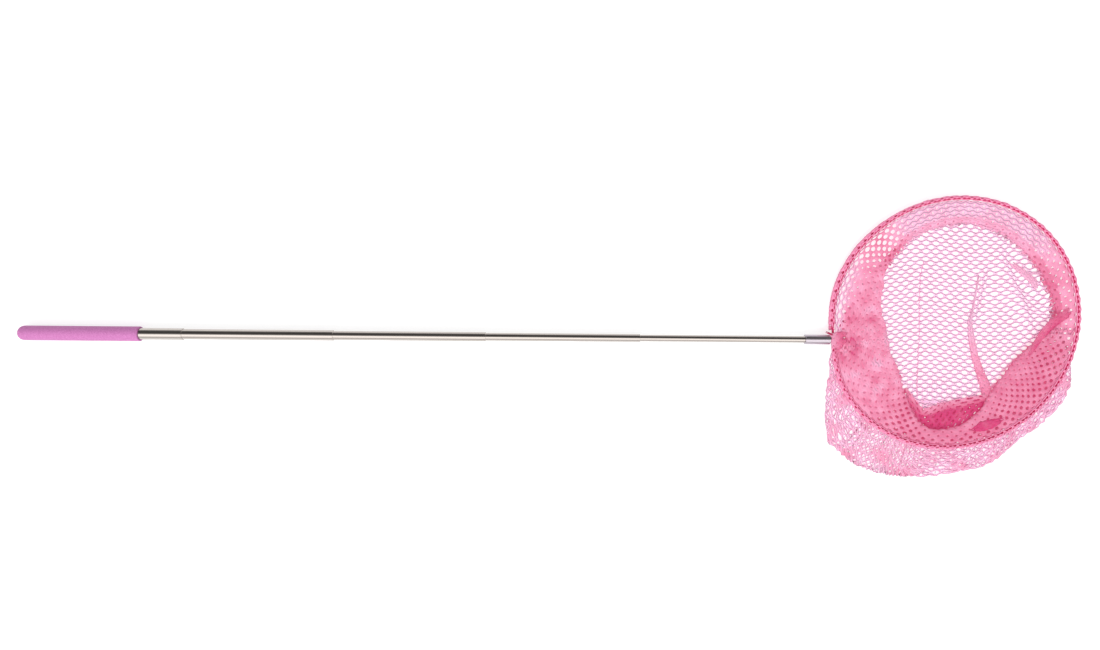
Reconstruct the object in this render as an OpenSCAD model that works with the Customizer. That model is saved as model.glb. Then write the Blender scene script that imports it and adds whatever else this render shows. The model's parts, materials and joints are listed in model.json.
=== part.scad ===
// Telescopic pet-fish scoop net: a five-section steel pole with a plastic grip,
// an oval wire hoop crimped into a ferrule, and a knitted mesh bag lying flat.
// The net lies on a table. The pole runs along +X, the mouth faces +Z and the
// bag's fullness falls to -Y. The origin is under the middle of the whole net.

/* [Grip] */
// Length of the plastic grip
grip_length = 98.6; // [80:0.2:120]
// Outside diameter of the grip
grip_d = 12; // [11.6:0.1:14]
// Radius of the rounded butt
butt_radius = 4.6; // [3:0.1:5]
// Thickness of the grip's closed end
butt_wall = 2; // [1.5:0.1:4]
// Rounding at the grip's open end
grip_lip_radius = 0.6; // [0.3:0.1:0.8]

/* [Pole] */
// Outside diameter of the first and thickest tube
tube_1_d = 9.5; // [9.2:0.1:9.8]
// Wall thickness of every tube
tube_wall = 0.3; // [0.2:0.02:0.32]
// Clear space between one tube and the next, on the radius
slide_gap = 0.2; // [0.18:0.01:0.22]
// Length of the first tube that shows past the grip
tube_1_out = 35; // [20:0.5:60]
// Length of the second tube that shows when it is drawn out
tube_2_out = 122.3; // [80:0.1:150]
// Length of the third tube that shows when it is drawn out
tube_3_out = 123.9; // [80:0.1:150]
// Length of the fourth tube that shows when it is drawn out
tube_4_out = 125.5; // [80:0.1:150]
// Length of the fifth tube that shows when it is drawn out
tube_5_out = 134.1; // [120:0.1:160]
// Length of the lip rolled inwards at a tube's mouth
lip_length = 1.2; // [0.8:0.1:2]
// Length of the swaged stop bead on a tube
bead_length = 1; // [0.8:0.1:1.6]
// Height of the stop bead above the tube
bead_height = 0.12; // [0.1:0.01:0.14]
// Length of a friction spring
spring_length = 6; // [4:0.5:9]
// Width of the slot along a friction spring
spring_slot = 1.2; // [0.8:0.1:2]
// Thickness of the flange of a base bush
bush_flange = 1.5; // [1:0.1:2.5]
// Length of a base bush inside its tube
bush_spigot = 2.5; // [1.5:0.1:4]
// Wall thickness of a base bush
bush_wall = 0.7; // [0.5:0.05:0.9]
// Thickness of the butt plug's flange
plug_flange = 1; // [0.8:0.1:2]
// Length of the butt plug inside the first tube
plug_spigot = 3; // [2:0.1:5]

/* [Ferrule] */
// Outside diameter of the ferrule
ferrule_d = 8; // [7.2:0.1:9]
// Length of the ferrule
ferrule_length = 20.3; // [18:0.1:26]
// Length of the fifth tube inside the ferrule
ferrule_socket = 9; // [6:0.5:10]
// Chamfer at both ends of the ferrule
ferrule_chamfer = 0.4; // [0.2:0.1:0.6]
// Length of the wire plug inside the ferrule
wire_plug_length = 10; // [6:0.5:10.5]

/* [Hoop] */
// Long diameter of the oval hoop, between the middles of the wire
hoop_long = 210.4; // [180:0.2:230]
// Short diameter of the oval hoop, between the middles of the wire
hoop_short = 195; // [170:0.2:215]
// Angle of the long diameter above the pole's line
hoop_turn = 44.7; // [40:0.1:50]
// Distance of the hoop's centre to the side of the pole's line
hoop_offset = 15; // [5:0.1:20]
// How far the hoop is pressed in where its wires turn into the ferrule
hoop_dent = 3; // [0:0.1:4]
// Diameter of the hoop's wire
wire_d = 2; // [1.6:0.05:2]
// Material between the two wires in the ferrule
wire_web = 0.4; // [0.3:0.05:0.5]
// Bend radius of the wires at the ferrule, to their middles
wire_bend = 2.2; // [1.8:0.1:3]
// Straight wire between the ferrule and the bends
wire_straight = 0.8; // [0.3:0.1:2]
// Length of wire held in the ferrule
wire_tail = 8; // [5:0.5:9]

/* [Hem] */
// Outside diameter of the hem sewn round the wire
hem_d = 4.5; // [4:0.1:5]
// Clear space between the wire and the hem
hem_clear = 0.3; // [0.2:0.05:0.5]
// Wire left bare each side of the ferrule, counted from the bend
hem_stand_back = 2; // [1.5:0.1:6]
// Diameter of the sewing thread
thread_d = 0.4; // [0.3:0.05:0.6]
// Length of the thread tie wound round the wire beside the ferrule
tie_length = 1.2; // [0.8:0.1:1.4]

/* [Bag] */
// Thickness of the mesh cloth
ply = 0.8; // [0.6:0.1:1]
// Clear space between the cloth and what it is sewn to
ply_clear = 0.3; // [0.25:0.05:0.5]
// Height from the floor layer to the layer above it, under the hem
outer_fold_rise = 1.9; // [1.7:0.1:2]
// Height from the floor layer to the layer above it, at the inner fold
inner_fold_base = 2.3; // [2:0.1:2.6]
// Height from that layer to the front layer, at the inner fold
inner_fold_rise = 2.8; // [2.2:0.1:3]
// Half the width of the bag's bottom seam, which is half an oval
bag_half_width = 83; // [76:1:86]
// Distance of the bottom seam from the hoop's centre, at its ends
bag_seam_near = 36; // [32:1:38]
// How far the bottom seam bows away from the hoop's centre
bag_seam_bow = 29; // [26:1:34]
// How much lower the bottom seam's left end lies than its right end
bag_seam_slant = 12; // [8:1:16]
// Thickness of the rolled seam along the bag's bottom
seam_d = 1.2; // [0.8:0.1:1.6]
// Pitch of the openings that stand for the mesh in the floor of the bag
mesh_pitch = 16; // [14:0.5:20]
// Width of one of these openings
mesh_opening = 10; // [6:0.5:12]

/* [Hidden] */

// Clearances of the small parts
press_gap = 0.02;
spring_inner_gap = 0.02;
spring_outer_gap = 0.03;
wire_gap = 0.03;
flange_gap = 0.05;
lip_gap = 0.05;
thread_gap = 0.05;
side_gap = 0.1;
rest_gap = 0.3;
end_gap = 0.1;
overrun = 1;

// Smoothness of turned parts, of swept wires and of the cloth
turned_fn = 72;
hoop_steps = 72;
wire_sides = 8;
hem_sides = 10;
thread_sides = 6;
bend_steps = 6;
cloth_steps = 26;
fold_steps = 4;

// Tube sizes and the places of their mouths, counted from the butt
tube_count = 5;
tube_outs = [grip_length + tube_1_out, tube_2_out, tube_3_out, tube_4_out, tube_5_out];
function tube_r(i) = tube_1_d / 2 - (i - 1) * (tube_wall + slide_gap);
function bore_r(i) = tube_r(i) - tube_wall;
function mouth_x(i) = i == 1 ? tube_outs[0] : mouth_x(i - 1) + tube_outs[i - 1];

// What lies inside a mouth when the next tube is drawn out: lip, stop bead, spring and bush
function bead_x(i) = mouth_x(i - 1) - lip_length - rest_gap - bead_length;
function spring_x(i) = bead_x(i) - side_gap - spring_length;
function rear_x(i) = i == 1 ? butt_wall + plug_flange + 2 * end_gap : spring_x(i) - side_gap;
function stop_face_x(i) = i == 1 ? rear_x(1) + plug_spigot : rear_x(i) + bush_spigot;
function travel(i) = rear_x(i) - bush_flange - stop_face_x(i - 1) - rest_gap;

// The ferrule and the wires in it
ferrule_x = mouth_x(tube_count);
ferrule_front_x = ferrule_x + ferrule_length;
ferrule_bore_r = tube_r(tube_count) + press_gap;
wire_r = wire_d / 2;
wire_y = (wire_d + wire_web) / 2;
wire_hole_r = wire_r + wire_gap;
turn_y = wire_y + wire_bend;

// The hoop: an oval about its own centre, pressed in beside the ferrule.
// A point at angle a lies hoop_r(a) from the centre.
hoop_mean_r = (hoop_long + hoop_short) / 4;
dent_width = 18;
pole_angle = 180 + asin(hoop_offset / (hoop_mean_r - hoop_dent));
function oval_r(a) =
    hoop_long * hoop_short / 2
    / norm([hoop_short * cos(a - hoop_turn), hoop_long * sin(a - hoop_turn)]);
function dent_share(a) = exp(-pow((a - pole_angle) / dent_width, 2));
function hoop_r(a) = oval_r(a) - hoop_dent * dent_share(full_turn(a));
hoop_x = ferrule_front_x + wire_straight + wire_bend
    + sqrt(pow(hoop_r(pole_angle), 2) - pow(hoop_offset, 2));
function hoop_point(a, out = 0) =
    [hoop_x, hoop_offset] + (hoop_r(a) + out) * [cos(a), sin(a)];
function hoop_angle(y) = 180 + asin((hoop_offset - y) / hoop_r(pole_angle));

hem_r = hem_d / 2;
hem_bore_r = wire_r + hem_clear;
hem_y = turn_y + hem_stand_back;

// A smooth value between the entries of a table that goes once round the hoop
function lerp(a, b, t) = a + (b - a) * t;
function clamp(v) = max(0, min(1, v));
function spline(p0, p1, p2, p3, t) =
    p1 + t / 2 * (p2 - p0 + t * (2 * p0 - 5 * p1 + 4 * p2 - p3 + t * (3 * (p1 - p2) + p3 - p0)));
function full_turn(a) = (a % 360 + 360) % 360;
function around(table, a) =
    let (n = len(table), s = full_turn(a) / 360 * n, i = floor(s))
    spline(table[(i + n - 1) % n], table[i % n], table[(i + 1) % n], table[(i + 2) % n], s - i);

// The folds of the bag, as shares of the hoop's mean radius, every 15 degrees from +X.
// The cloth runs in from the hem to the inner fold, back out under the hem to the
// outer fold, and then in again along the table to the bottom seam.
inner_fold_shares = [
    0.15, 0.12, 0.16, 0.16, 0.12, 0.12, 0.15, 0.17, 0.18, 0.22, 0.30, 0.37,
    0.42, 0.45, 0.46, 0.43, 0.31, 0.15, 0.15, 0.22, 0.33, 0.37, 0.37, 0.32
];
outer_fold_shares = [
    -0.10, -0.12, -0.19, -0.19, -0.15, -0.15, -0.18, -0.20, -0.20, -0.12, -0.05, -0.02,
    -0.01, 0.00, 0.11, 0.34, 0.35, 0.28, 0.23, 0.21, 0.14, 0.14, 0.14, 0.02
];
// How far the cloth is folded: 1 is folded in full and 0 is cloth that only slopes down
fold_fullness_shares = [
    0.1, 0, 0, 0, 0, 0, 0, 0, 0, 0.6, 1, 1,
    1, 1, 1, 1, 1, 1, 1, 1, 1, 1, 1, 1
];
// Where rows of points lie between the two folds, and between the outer fold and the seam
middle_shares = [0.35, 0.7];
floor_shares = [1/3, 2/3, 1];
// How far along the bottom seam's curve each panel's two corners lie
upper_corner_share = 0.06;
lower_corner_share = 0.015;
// Where the right side seam meets the hoop
right_seam_angle = -7.5;

// Heights of the cloth's middle, counted from the pole's line
floor_z = ply / 2 - grip_d / 2;
outer_z = floor_z + outer_fold_rise;
inner_z = floor_z + inner_fold_base;
front_z = inner_z + inner_fold_rise;

// One row of the cloth, from the hem to the bottom seam, above the angle a. The
// bottom seam is reached at seam_point. Each entry is [x, y, z].
function fold_arc(tip, low_z, high_z, side) =
    let (r = (high_z - low_z) / 2)
    [for (k = [0:fold_steps])
        let (b = 180 * k / fold_steps)
        [tip + side * r * (sin(b) - 1), low_z + r * (1 + cos(b))]];
function smooth_step(t) = t * t * (3 - 2 * t);
function row_profile(a) =
    let (
        inner = -hoop_mean_r * around(inner_fold_shares, a),
        outer = hoop_mean_r * around(outer_fold_shares, a),
        start = -(hem_r + ply_clear + ply / 2),
        folded = concat(
            [[start, 0], [lerp(start, inner, 0.5), front_z / 2]],
            fold_arc(inner, inner_z, front_z, -1),
            [for (t = middle_shares) [lerp(inner, outer, t), lerp(inner_z, outer_z, t)]],
            fold_arc(outer, floor_z, outer_z, 1)
        ),
        last = len(folded) - 1
    )
    [for (k = [0:last])
        let (sloped = [lerp(start, outer, k / last), lerp(0, floor_z, smooth_step(k / last))])
        lerp(sloped, folded[k], clamp(around(fold_fullness_shares, a)))];
function seam_rise(t) = bag_seam_slant * (t - 0.5) - bag_seam_bow * sin(180 * t) - bag_seam_near;
function seam_point(t) = [hoop_x - bag_half_width * cos(180 * t), hoop_offset + seam_rise(t)];
function along_seam(k, corner) = lerp(corner, 1 - corner, k / cloth_steps);
function seam_foot(t, step) =
    let (n = [bag_seam_bow * cos(180 * t), bag_half_width * sin(180 * t)])
    seam_point(t) + step * n / norm(n);
function cloth_row(a, foot) =
    let (
        profile = row_profile(a),
        last = hoop_point(a, profile[len(profile) - 1][0])
    )
    concat(
        [for (p = profile) let (q = hoop_point(a, p[0])) [q.x, q.y, p[1]]],
        [for (t = floor_shares) let (q = lerp(last, foot, t)) [q.x, q.y, floor_z]]
    );

// The two panels meet at the left seam beside the ferrule and at the right seam
edge_angle = atan(ply_clear / hoop_mean_r);
foot_step = seam_d / 2 + ply_clear;
upper_rows = [for (k = [0:cloth_steps])
    cloth_row(
        lerp(pole_angle - edge_angle, right_seam_angle + edge_angle, k / cloth_steps),
        seam_foot(along_seam(k, upper_corner_share), foot_step)
    )];
lower_rows = [for (k = [0:cloth_steps])
    cloth_row(
        lerp(pole_angle + edge_angle, right_seam_angle + 360 - edge_angle, k / cloth_steps),
        seam_foot(along_seam(k, lower_corner_share), -foot_step)
    )];

// Where the floor of the bag lies open: inside the folds and above the bottom seam. The
// point [x, y] is counted from the hoop's centre, and one opening round it has to fit.
mesh_margin = mesh_opening / sqrt(2) + ply;
function floor_r(a) =
    hoop_r(a) - hoop_mean_r * max(around(inner_fold_shares, a), -around(outer_fold_shares, a));
function floor_is_clear(x, y) =
    norm([x, y]) < floor_r(atan2(y, x)) - mesh_margin
    && abs(x) < bag_half_width
    && y > seam_rise(acos(-x / bag_half_width) / 180) + mesh_margin;

// The bounds of the whole net, for the origin
net_x = max([for (a = [-45:45]) hoop_point(a).x]) + hem_r;
net_top_y = max([for (a = [45:135]) hoop_point(a).y]) + hem_r;
net_low_y = min([for (row = lower_rows) min([for (p = row) p.y])]) - ply / 2;
centre_x = net_x / 2;
centre_y = (net_top_y + net_low_y) / 2;

// Puts what is drawn along the pole's line into the net's own frame
module in_frame() {
    translate([-centre_x, -centre_y, grip_d / 2])
        children();
}

// Turns an outline of [radius, place] round the pole's line
module turned() {
    rotate([0, 90, 0])
        rotate_extrude($fn = turned_fn)
            children();
}

module rod(r, x, length) {
    translate([x, 0, 0])
        rotate([0, 90, 0])
            cylinder(r = r, h = length, $fn = turned_fn);
}

// A round bar along a flat path, or a pipe where bore is over 0
module swept(path, r, sides, bore = 0, z = 0) {
    n = len(path);
    walls = bore > 0 ? [r, bore] : [r];
    points = [for (s = walls) for (i = [0:n - 1])
        let (
            d = path[min(i + 1, n - 1)] - path[max(i - 1, 0)],
            t = d / norm(d)
        )
        for (k = [0:sides - 1])
            let (a = 360 * k / sides)
            [path[i].x + t.y * s * cos(a), path[i].y - t.x * s * cos(a), z + s * sin(a)]];
    function at(w, i, k) = (w * n + i) * sides + k % sides;
    skin = [for (i = [0:n - 2]) for (k = [0:sides - 1])
        [at(0, i, k), at(0, i, k + 1), at(0, i + 1, k + 1), at(0, i + 1, k)]];
    inside = bore > 0
        ? [for (i = [0:n - 2]) for (k = [0:sides - 1])
            [at(1, i, k), at(1, i + 1, k), at(1, i + 1, k + 1), at(1, i, k + 1)]]
        : [];
    ends = bore > 0
        ? concat(
            [for (k = [0:sides - 1]) [at(0, 0, k), at(1, 0, k), at(1, 0, k + 1), at(0, 0, k + 1)]],
            [for (k = [0:sides - 1])
                [at(0, n - 1, k + 1), at(1, n - 1, k + 1), at(1, n - 1, k), at(0, n - 1, k)]]
        )
        : [
            [for (k = [0:sides - 1]) at(0, 0, sides - 1 - k)],
            [for (k = [0:sides - 1]) at(0, n - 1, k)]
        ];
    quads = concat(skin, inside, bore > 0 ? ends : []);
    polyhedron(points, concat(
        [for (q = quads) [q[0], q[1], q[2]]],
        [for (q = quads) [q[0], q[2], q[3]]],
        bore > 0 ? [] : ends
    ));
}

// A closed sheet of even thickness along rows of points
module sheet(rows, thickness) {
    n = len(rows);
    m = len(rows[0]);
    function normal_at(i, j) =
        let (
            du = rows[min(i + 1, n - 1)][j] - rows[max(i - 1, 0)][j],
            dv = rows[i][min(j + 1, m - 1)] - rows[i][max(j - 1, 0)],
            c = cross(du, dv)
        )
        c / norm(c);
    points = [for (side = [0.5, -0.5]) for (i = [0:n - 1]) for (j = [0:m - 1])
        rows[i][j] + side * thickness * normal_at(i, j)];
    function at(s, i, j) = (s * n + i) * m + j;
    quads = concat(
        [for (i = [0:n - 2]) for (j = [0:m - 2])
            [at(0, i, j), at(0, i, j + 1), at(0, i + 1, j + 1), at(0, i + 1, j)]],
        [for (i = [0:n - 2]) for (j = [0:m - 2])
            [at(1, i, j), at(1, i + 1, j), at(1, i + 1, j + 1), at(1, i, j + 1)]],
        [for (i = [0:n - 2]) [at(0, i, 0), at(0, i + 1, 0), at(1, i + 1, 0), at(1, i, 0)]],
        [for (i = [0:n - 2])
            [at(0, i + 1, m - 1), at(0, i, m - 1), at(1, i, m - 1), at(1, i + 1, m - 1)]],
        [for (j = [0:m - 2]) [at(0, 0, j + 1), at(0, 0, j), at(1, 0, j), at(1, 0, j + 1)]],
        [for (j = [0:m - 2])
            [at(0, n - 1, j), at(0, n - 1, j + 1), at(1, n - 1, j + 1), at(1, n - 1, j)]]
    );
    polyhedron(points, concat(
        [for (q = quads) [q[0], q[1], q[2]]],
        [for (q = quads) [q[0], q[2], q[3]]]
    ));
}

// Moulded plastic grip with a rounded closed butt
module grip_sleeve() {
    r = grip_d / 2;
    color("orchid")
        in_frame()
            difference() {
                turned() {
                    square([r - butt_radius, grip_length]);
                    translate([0, butt_radius])
                        square([r, grip_length - butt_radius - grip_lip_radius]);
                    intersection() {
                        square([r, grip_length]);
                        translate([r - butt_radius, butt_radius])
                            circle(r = butt_radius, $fn = turned_fn);
                    }
                    translate([0, butt_radius])
                        square([r - grip_lip_radius, grip_length - butt_radius]);
                    translate([r - grip_lip_radius, grip_length - grip_lip_radius])
                        circle(r = grip_lip_radius, $fn = turned_fn);
                }
                rod(tube_r(1) + press_gap, butt_wall, grip_length);
            }
}

// Plug that closes the first tube's rear end inside the grip
module butt_plug() {
    x = butt_wall + end_gap;
    color("white")
        in_frame() {
            rod(tube_r(1), x, plug_flange);
            rod(bore_r(1) - press_gap, x, plug_flange + end_gap + plug_spigot);
        }
}

// Steel tube i of the pole, with its stop bead and its rolled lip
module pole_tube(i) {
    r = tube_r(i);
    front = i == tube_count ? ferrule_x + ferrule_socket : mouth_x(i);
    bead = i == 1 ? [] : [
        [r, bead_x(i)], [r + bead_height, bead_x(i) + bead_height],
        [r + bead_height, bead_x(i) + bead_length - bead_height], [r, bead_x(i) + bead_length]
    ];
    lip = i == tube_count
        ? [[bore_r(i), front]]
        : [
            [tube_r(i + 1) + lip_gap, front], [tube_r(i + 1) + lip_gap, front - lip_length],
            [bore_r(i), front - lip_length]
        ];
    edge = tube_wall / 2;
    color("gainsboro")
        in_frame()
            turned()
                polygon(concat(
                    [[bore_r(i), rear_x(i)], [r, rear_x(i)]],
                    bead,
                    [[r, front - edge], [r - edge, front]],
                    lip
                ));
}

// Brass bush that closes the rear end of tube i and guides it in the tube before
module base_bush(i) {
    x = rear_x(i) - bush_flange;
    color("goldenrod")
        in_frame()
            difference() {
                union() {
                    rod(bore_r(i - 1) - flange_gap, x, bush_flange);
                    rod(bore_r(i) - press_gap, x, bush_flange + bush_spigot);
                }
                rod(bore_r(i) - press_gap - bush_wall, x - overrun, bush_flange + bush_spigot + 2 * overrun);
            }
}

// Slotted spring sleeve that holds tube i by friction in the tube before
module friction_spring(i) {
    color("darkgray")
        in_frame()
            difference() {
                rod(bore_r(i - 1) - spring_outer_gap, spring_x(i), spring_length);
                rod(tube_r(i) + spring_inner_gap, spring_x(i) - overrun, spring_length + 2 * overrun);
                translate([spring_x(i) - overrun, -spring_slot / 2, 0])
                    cube([spring_length + 2 * overrun, spring_slot, bore_r(i - 1)]);
            }
}

// Aluminium ferrule that joins the hoop's wires to the last tube
module ferrule() {
    r = ferrule_d / 2;
    c = ferrule_chamfer;
    color("lightsteelblue")
        in_frame()
            turned()
                polygon([
                    [ferrule_bore_r, ferrule_x], [r - c, ferrule_x], [r, ferrule_x + c],
                    [r, ferrule_front_x - c], [r - c, ferrule_front_x],
                    [ferrule_bore_r, ferrule_front_x]
                ]);
}

// Plug in the ferrule's mouth that holds the two wires side by side
module ferrule_plug() {
    x = ferrule_front_x - wire_plug_length;
    color("dimgray")
        in_frame()
            difference() {
                rod(ferrule_bore_r - press_gap, x, wire_plug_length);
                for (side = [-1, 1])
                    translate([0, side * wire_y, 0])
                        rod(wire_hole_r, x - overrun, wire_plug_length + 2 * overrun);
            }
}

// Half of the wire's path beside the ferrule: straight tail and bend, side -1 or 1
function wire_turn(side) =
    let (bend_x = hoop_point(hoop_angle(side * turn_y)).x - wire_bend)
    concat(
        [[ferrule_front_x - wire_tail, side * wire_y]],
        [for (k = [0:bend_steps])
            let (b = 90 * k / bend_steps)
            [bend_x + wire_bend * sin(b), side * (turn_y - wire_bend * cos(b))]]
    );
function reversed(list) = [for (k = [len(list) - 1:-1:0]) list[k]];
function hoop_run(from_y, to_y, ends, out = 0) =
    let (a = hoop_angle(from_y), b = hoop_angle(to_y) + 360)
    [for (k = [1 - ends:hoop_steps - 1 + ends]) hoop_point(lerp(a, b, k / hoop_steps), out)];

// One length of wire: the oval hoop and its two tails in the ferrule
module hoop_wire() {
    color("dimgray")
        in_frame()
            swept(
                concat(wire_turn(-1), hoop_run(-turn_y, turn_y, 0), reversed(wire_turn(1))),
                wire_r, wire_sides
            );
}

// The net's edge, folded round the wire and sewn down
module hem_sleeve() {
    color("palevioletred")
        in_frame()
            swept(hoop_run(-hem_y, hem_y, 1), hem_r, hem_sides, hem_bore_r);
}

// The seam thread that runs inside the hem
module hem_stitching() {
    inset = hem_r + thread_d / 2 + thread_gap;
    color("mediumvioletred")
        in_frame()
            swept(hoop_run(-hem_y, hem_y, 1, -inset), thread_d / 2, thread_sides, 0, thread_d + ply / 2);
}

// Thread tie wound round the wire between the ferrule and the hem's upper end
module gather_tie() {
    color("mediumvioletred")
        in_frame()
            translate([hoop_point(hoop_angle(turn_y + tie_length / 2)).x, turn_y + end_gap, 0])
                rotate([-90, 0, 0])
                    difference() {
                        cylinder(r = hem_r, h = tie_length, $fn = turned_fn);
                        translate([0, 0, -overrun])
                            cylinder(r = wire_r + hem_clear, h = tie_length + 2 * overrun, $fn = turned_fn);
                    }
}

// Mesh panel on the far side of the pole's line
module mesh_openings() {
    count = ceil(hoop_mean_r / mesh_pitch);
    for (i = [-count:count], j = [-count:count])
        if (floor_is_clear(i * mesh_pitch, j * mesh_pitch))
            translate([
                hoop_x + i * mesh_pitch, hoop_offset + j * mesh_pitch, floor_z - ply / 2 - overrun
            ])
                linear_extrude(ply + 2 * overrun)
                    square(mesh_opening, center = true);
}

module net_upper_panel() {
    color("pink")
        in_frame()
            difference() {
                sheet(upper_rows, ply);
                mesh_openings();
            }
}

// Mesh panel on the near side, with the deep folds
module net_lower_panel() {
    color("hotpink")
        in_frame()
            sheet(reversed(lower_rows), ply);
}

// Rolled and overlocked seam that joins the panels along the bag's bottom. It stops
// one step short of each side seam.
module bag_seam() {
    color("deeppink")
        in_frame()
            swept(
                [for (k = [1:cloth_steps - 1]) seam_point(along_seam(k, upper_corner_share))],
                seam_d / 2, thread_sides, 0, (seam_d - grip_d) / 2
            );
}

grip_sleeve();
butt_plug();
pole_tube(1);  // pole_tube_1
pole_tube(2);  // pole_tube_2
pole_tube(3);  // pole_tube_3
pole_tube(4);  // pole_tube_4
pole_tube(5);  // pole_tube_5
base_bush(2);  // base_bush_2
base_bush(3);  // base_bush_3
base_bush(4);  // base_bush_4
base_bush(5);  // base_bush_5
friction_spring(2);  // friction_spring_2
friction_spring(3);  // friction_spring_3
friction_spring(4);  // friction_spring_4
friction_spring(5);  // friction_spring_5
ferrule();
ferrule_plug();
hoop_wire();
hem_sleeve();
hem_stitching();
gather_tie();
net_upper_panel();
net_lower_panel();
bag_seam();
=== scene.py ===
# %% [markdown]
# # A telescopic scoop net
#
# The net lies flat on a white table and is seen from straight above. A five-section
# steel pole runs along +X, an oval wire hoop carries a soft knitted bag, and the bag's
# fullness falls to -Y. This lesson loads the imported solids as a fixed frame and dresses
# them: turned metal parts, a moulded grip, and above all the mesh, which Geometry Nodes
# knit from a sheet of flat cells.

import json
import math
from collections import Counter
from functools import partial

import bpy
from mathutils import Vector, noise
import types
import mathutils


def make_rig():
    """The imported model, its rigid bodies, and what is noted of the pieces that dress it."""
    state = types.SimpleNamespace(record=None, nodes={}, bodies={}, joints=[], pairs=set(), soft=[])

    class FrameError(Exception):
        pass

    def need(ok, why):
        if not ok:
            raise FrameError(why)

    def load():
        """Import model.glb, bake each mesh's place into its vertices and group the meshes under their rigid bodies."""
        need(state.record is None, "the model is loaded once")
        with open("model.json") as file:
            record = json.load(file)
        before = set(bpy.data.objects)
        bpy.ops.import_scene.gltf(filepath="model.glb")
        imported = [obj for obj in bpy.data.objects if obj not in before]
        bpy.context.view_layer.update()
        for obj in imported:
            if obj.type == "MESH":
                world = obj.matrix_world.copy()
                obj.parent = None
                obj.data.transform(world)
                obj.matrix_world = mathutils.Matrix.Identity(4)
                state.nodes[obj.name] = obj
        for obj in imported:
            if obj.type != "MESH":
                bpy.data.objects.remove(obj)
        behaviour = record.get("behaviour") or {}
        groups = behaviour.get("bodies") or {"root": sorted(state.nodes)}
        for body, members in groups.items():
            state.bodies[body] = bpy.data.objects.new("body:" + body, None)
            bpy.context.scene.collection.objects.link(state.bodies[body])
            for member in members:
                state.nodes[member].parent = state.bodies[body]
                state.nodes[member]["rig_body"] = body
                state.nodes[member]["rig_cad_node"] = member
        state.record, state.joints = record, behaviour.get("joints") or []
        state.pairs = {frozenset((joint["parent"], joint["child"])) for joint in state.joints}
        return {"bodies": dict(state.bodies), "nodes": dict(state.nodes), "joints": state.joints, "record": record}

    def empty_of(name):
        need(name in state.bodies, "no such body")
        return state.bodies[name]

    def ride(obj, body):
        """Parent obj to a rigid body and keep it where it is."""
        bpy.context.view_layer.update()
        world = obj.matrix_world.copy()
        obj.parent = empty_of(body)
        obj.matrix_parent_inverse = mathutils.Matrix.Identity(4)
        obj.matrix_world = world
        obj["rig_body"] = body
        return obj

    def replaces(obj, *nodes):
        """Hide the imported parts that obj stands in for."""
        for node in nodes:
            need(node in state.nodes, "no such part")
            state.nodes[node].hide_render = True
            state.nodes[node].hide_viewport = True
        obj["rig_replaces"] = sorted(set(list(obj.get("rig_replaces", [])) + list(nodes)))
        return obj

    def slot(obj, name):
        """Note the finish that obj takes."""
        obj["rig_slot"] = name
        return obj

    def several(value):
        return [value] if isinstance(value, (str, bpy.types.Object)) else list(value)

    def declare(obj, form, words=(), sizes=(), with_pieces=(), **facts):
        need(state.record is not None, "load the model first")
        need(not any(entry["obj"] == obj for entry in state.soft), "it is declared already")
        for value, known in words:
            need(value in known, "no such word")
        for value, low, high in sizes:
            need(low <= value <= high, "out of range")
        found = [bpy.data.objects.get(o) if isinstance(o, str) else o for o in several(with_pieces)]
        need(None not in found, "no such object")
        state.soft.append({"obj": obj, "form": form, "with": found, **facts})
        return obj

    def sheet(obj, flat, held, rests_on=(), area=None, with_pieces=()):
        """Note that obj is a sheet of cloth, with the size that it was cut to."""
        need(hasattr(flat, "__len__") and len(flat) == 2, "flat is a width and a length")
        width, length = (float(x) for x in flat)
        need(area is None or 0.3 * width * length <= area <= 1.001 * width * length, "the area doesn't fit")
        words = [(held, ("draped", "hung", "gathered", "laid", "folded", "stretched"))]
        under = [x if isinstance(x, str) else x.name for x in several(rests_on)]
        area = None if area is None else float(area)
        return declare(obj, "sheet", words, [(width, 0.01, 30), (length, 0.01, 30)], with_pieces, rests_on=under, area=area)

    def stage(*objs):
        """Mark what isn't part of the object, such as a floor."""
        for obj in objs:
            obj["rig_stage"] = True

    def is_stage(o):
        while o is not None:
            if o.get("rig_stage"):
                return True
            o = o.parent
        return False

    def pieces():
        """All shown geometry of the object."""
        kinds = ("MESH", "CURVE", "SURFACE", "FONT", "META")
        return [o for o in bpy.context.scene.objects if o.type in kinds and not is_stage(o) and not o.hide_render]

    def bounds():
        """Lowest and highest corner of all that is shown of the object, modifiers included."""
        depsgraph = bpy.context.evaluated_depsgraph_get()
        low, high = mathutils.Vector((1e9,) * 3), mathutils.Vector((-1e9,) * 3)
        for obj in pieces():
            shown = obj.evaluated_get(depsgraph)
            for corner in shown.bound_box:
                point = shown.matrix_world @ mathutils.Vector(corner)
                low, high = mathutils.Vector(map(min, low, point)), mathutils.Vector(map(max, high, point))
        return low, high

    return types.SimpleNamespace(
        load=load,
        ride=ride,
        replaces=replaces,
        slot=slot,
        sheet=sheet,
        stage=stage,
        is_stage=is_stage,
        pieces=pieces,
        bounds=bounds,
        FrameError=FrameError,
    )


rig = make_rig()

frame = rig.load()
cad_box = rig.bounds()
print("CAD box, m:", [tuple(round(v, 4) for v in p) for p in cad_box])

# %% [markdown]
# Every Blender object is in metres, but a net maker thinks in millimetres. One small
# value turns the one into the other. Colours are written as sRGB hex values, as a
# colour picker shows them, and one function turns them into the linear values that
# shaders work with.

# %% Millimetres and colours
MM = 0.001


def linear(hex_colour):
    """The linear RGBA of an sRGB hex colour."""
    shares = [int(hex_colour[i : i + 2], 16) / 255 for i in (1, 3, 5)]
    return [s / 12.92 if s <= 0.04045 else ((s + 0.055) / 1.055) ** 2.4 for s in shares] + [1.0]


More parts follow.
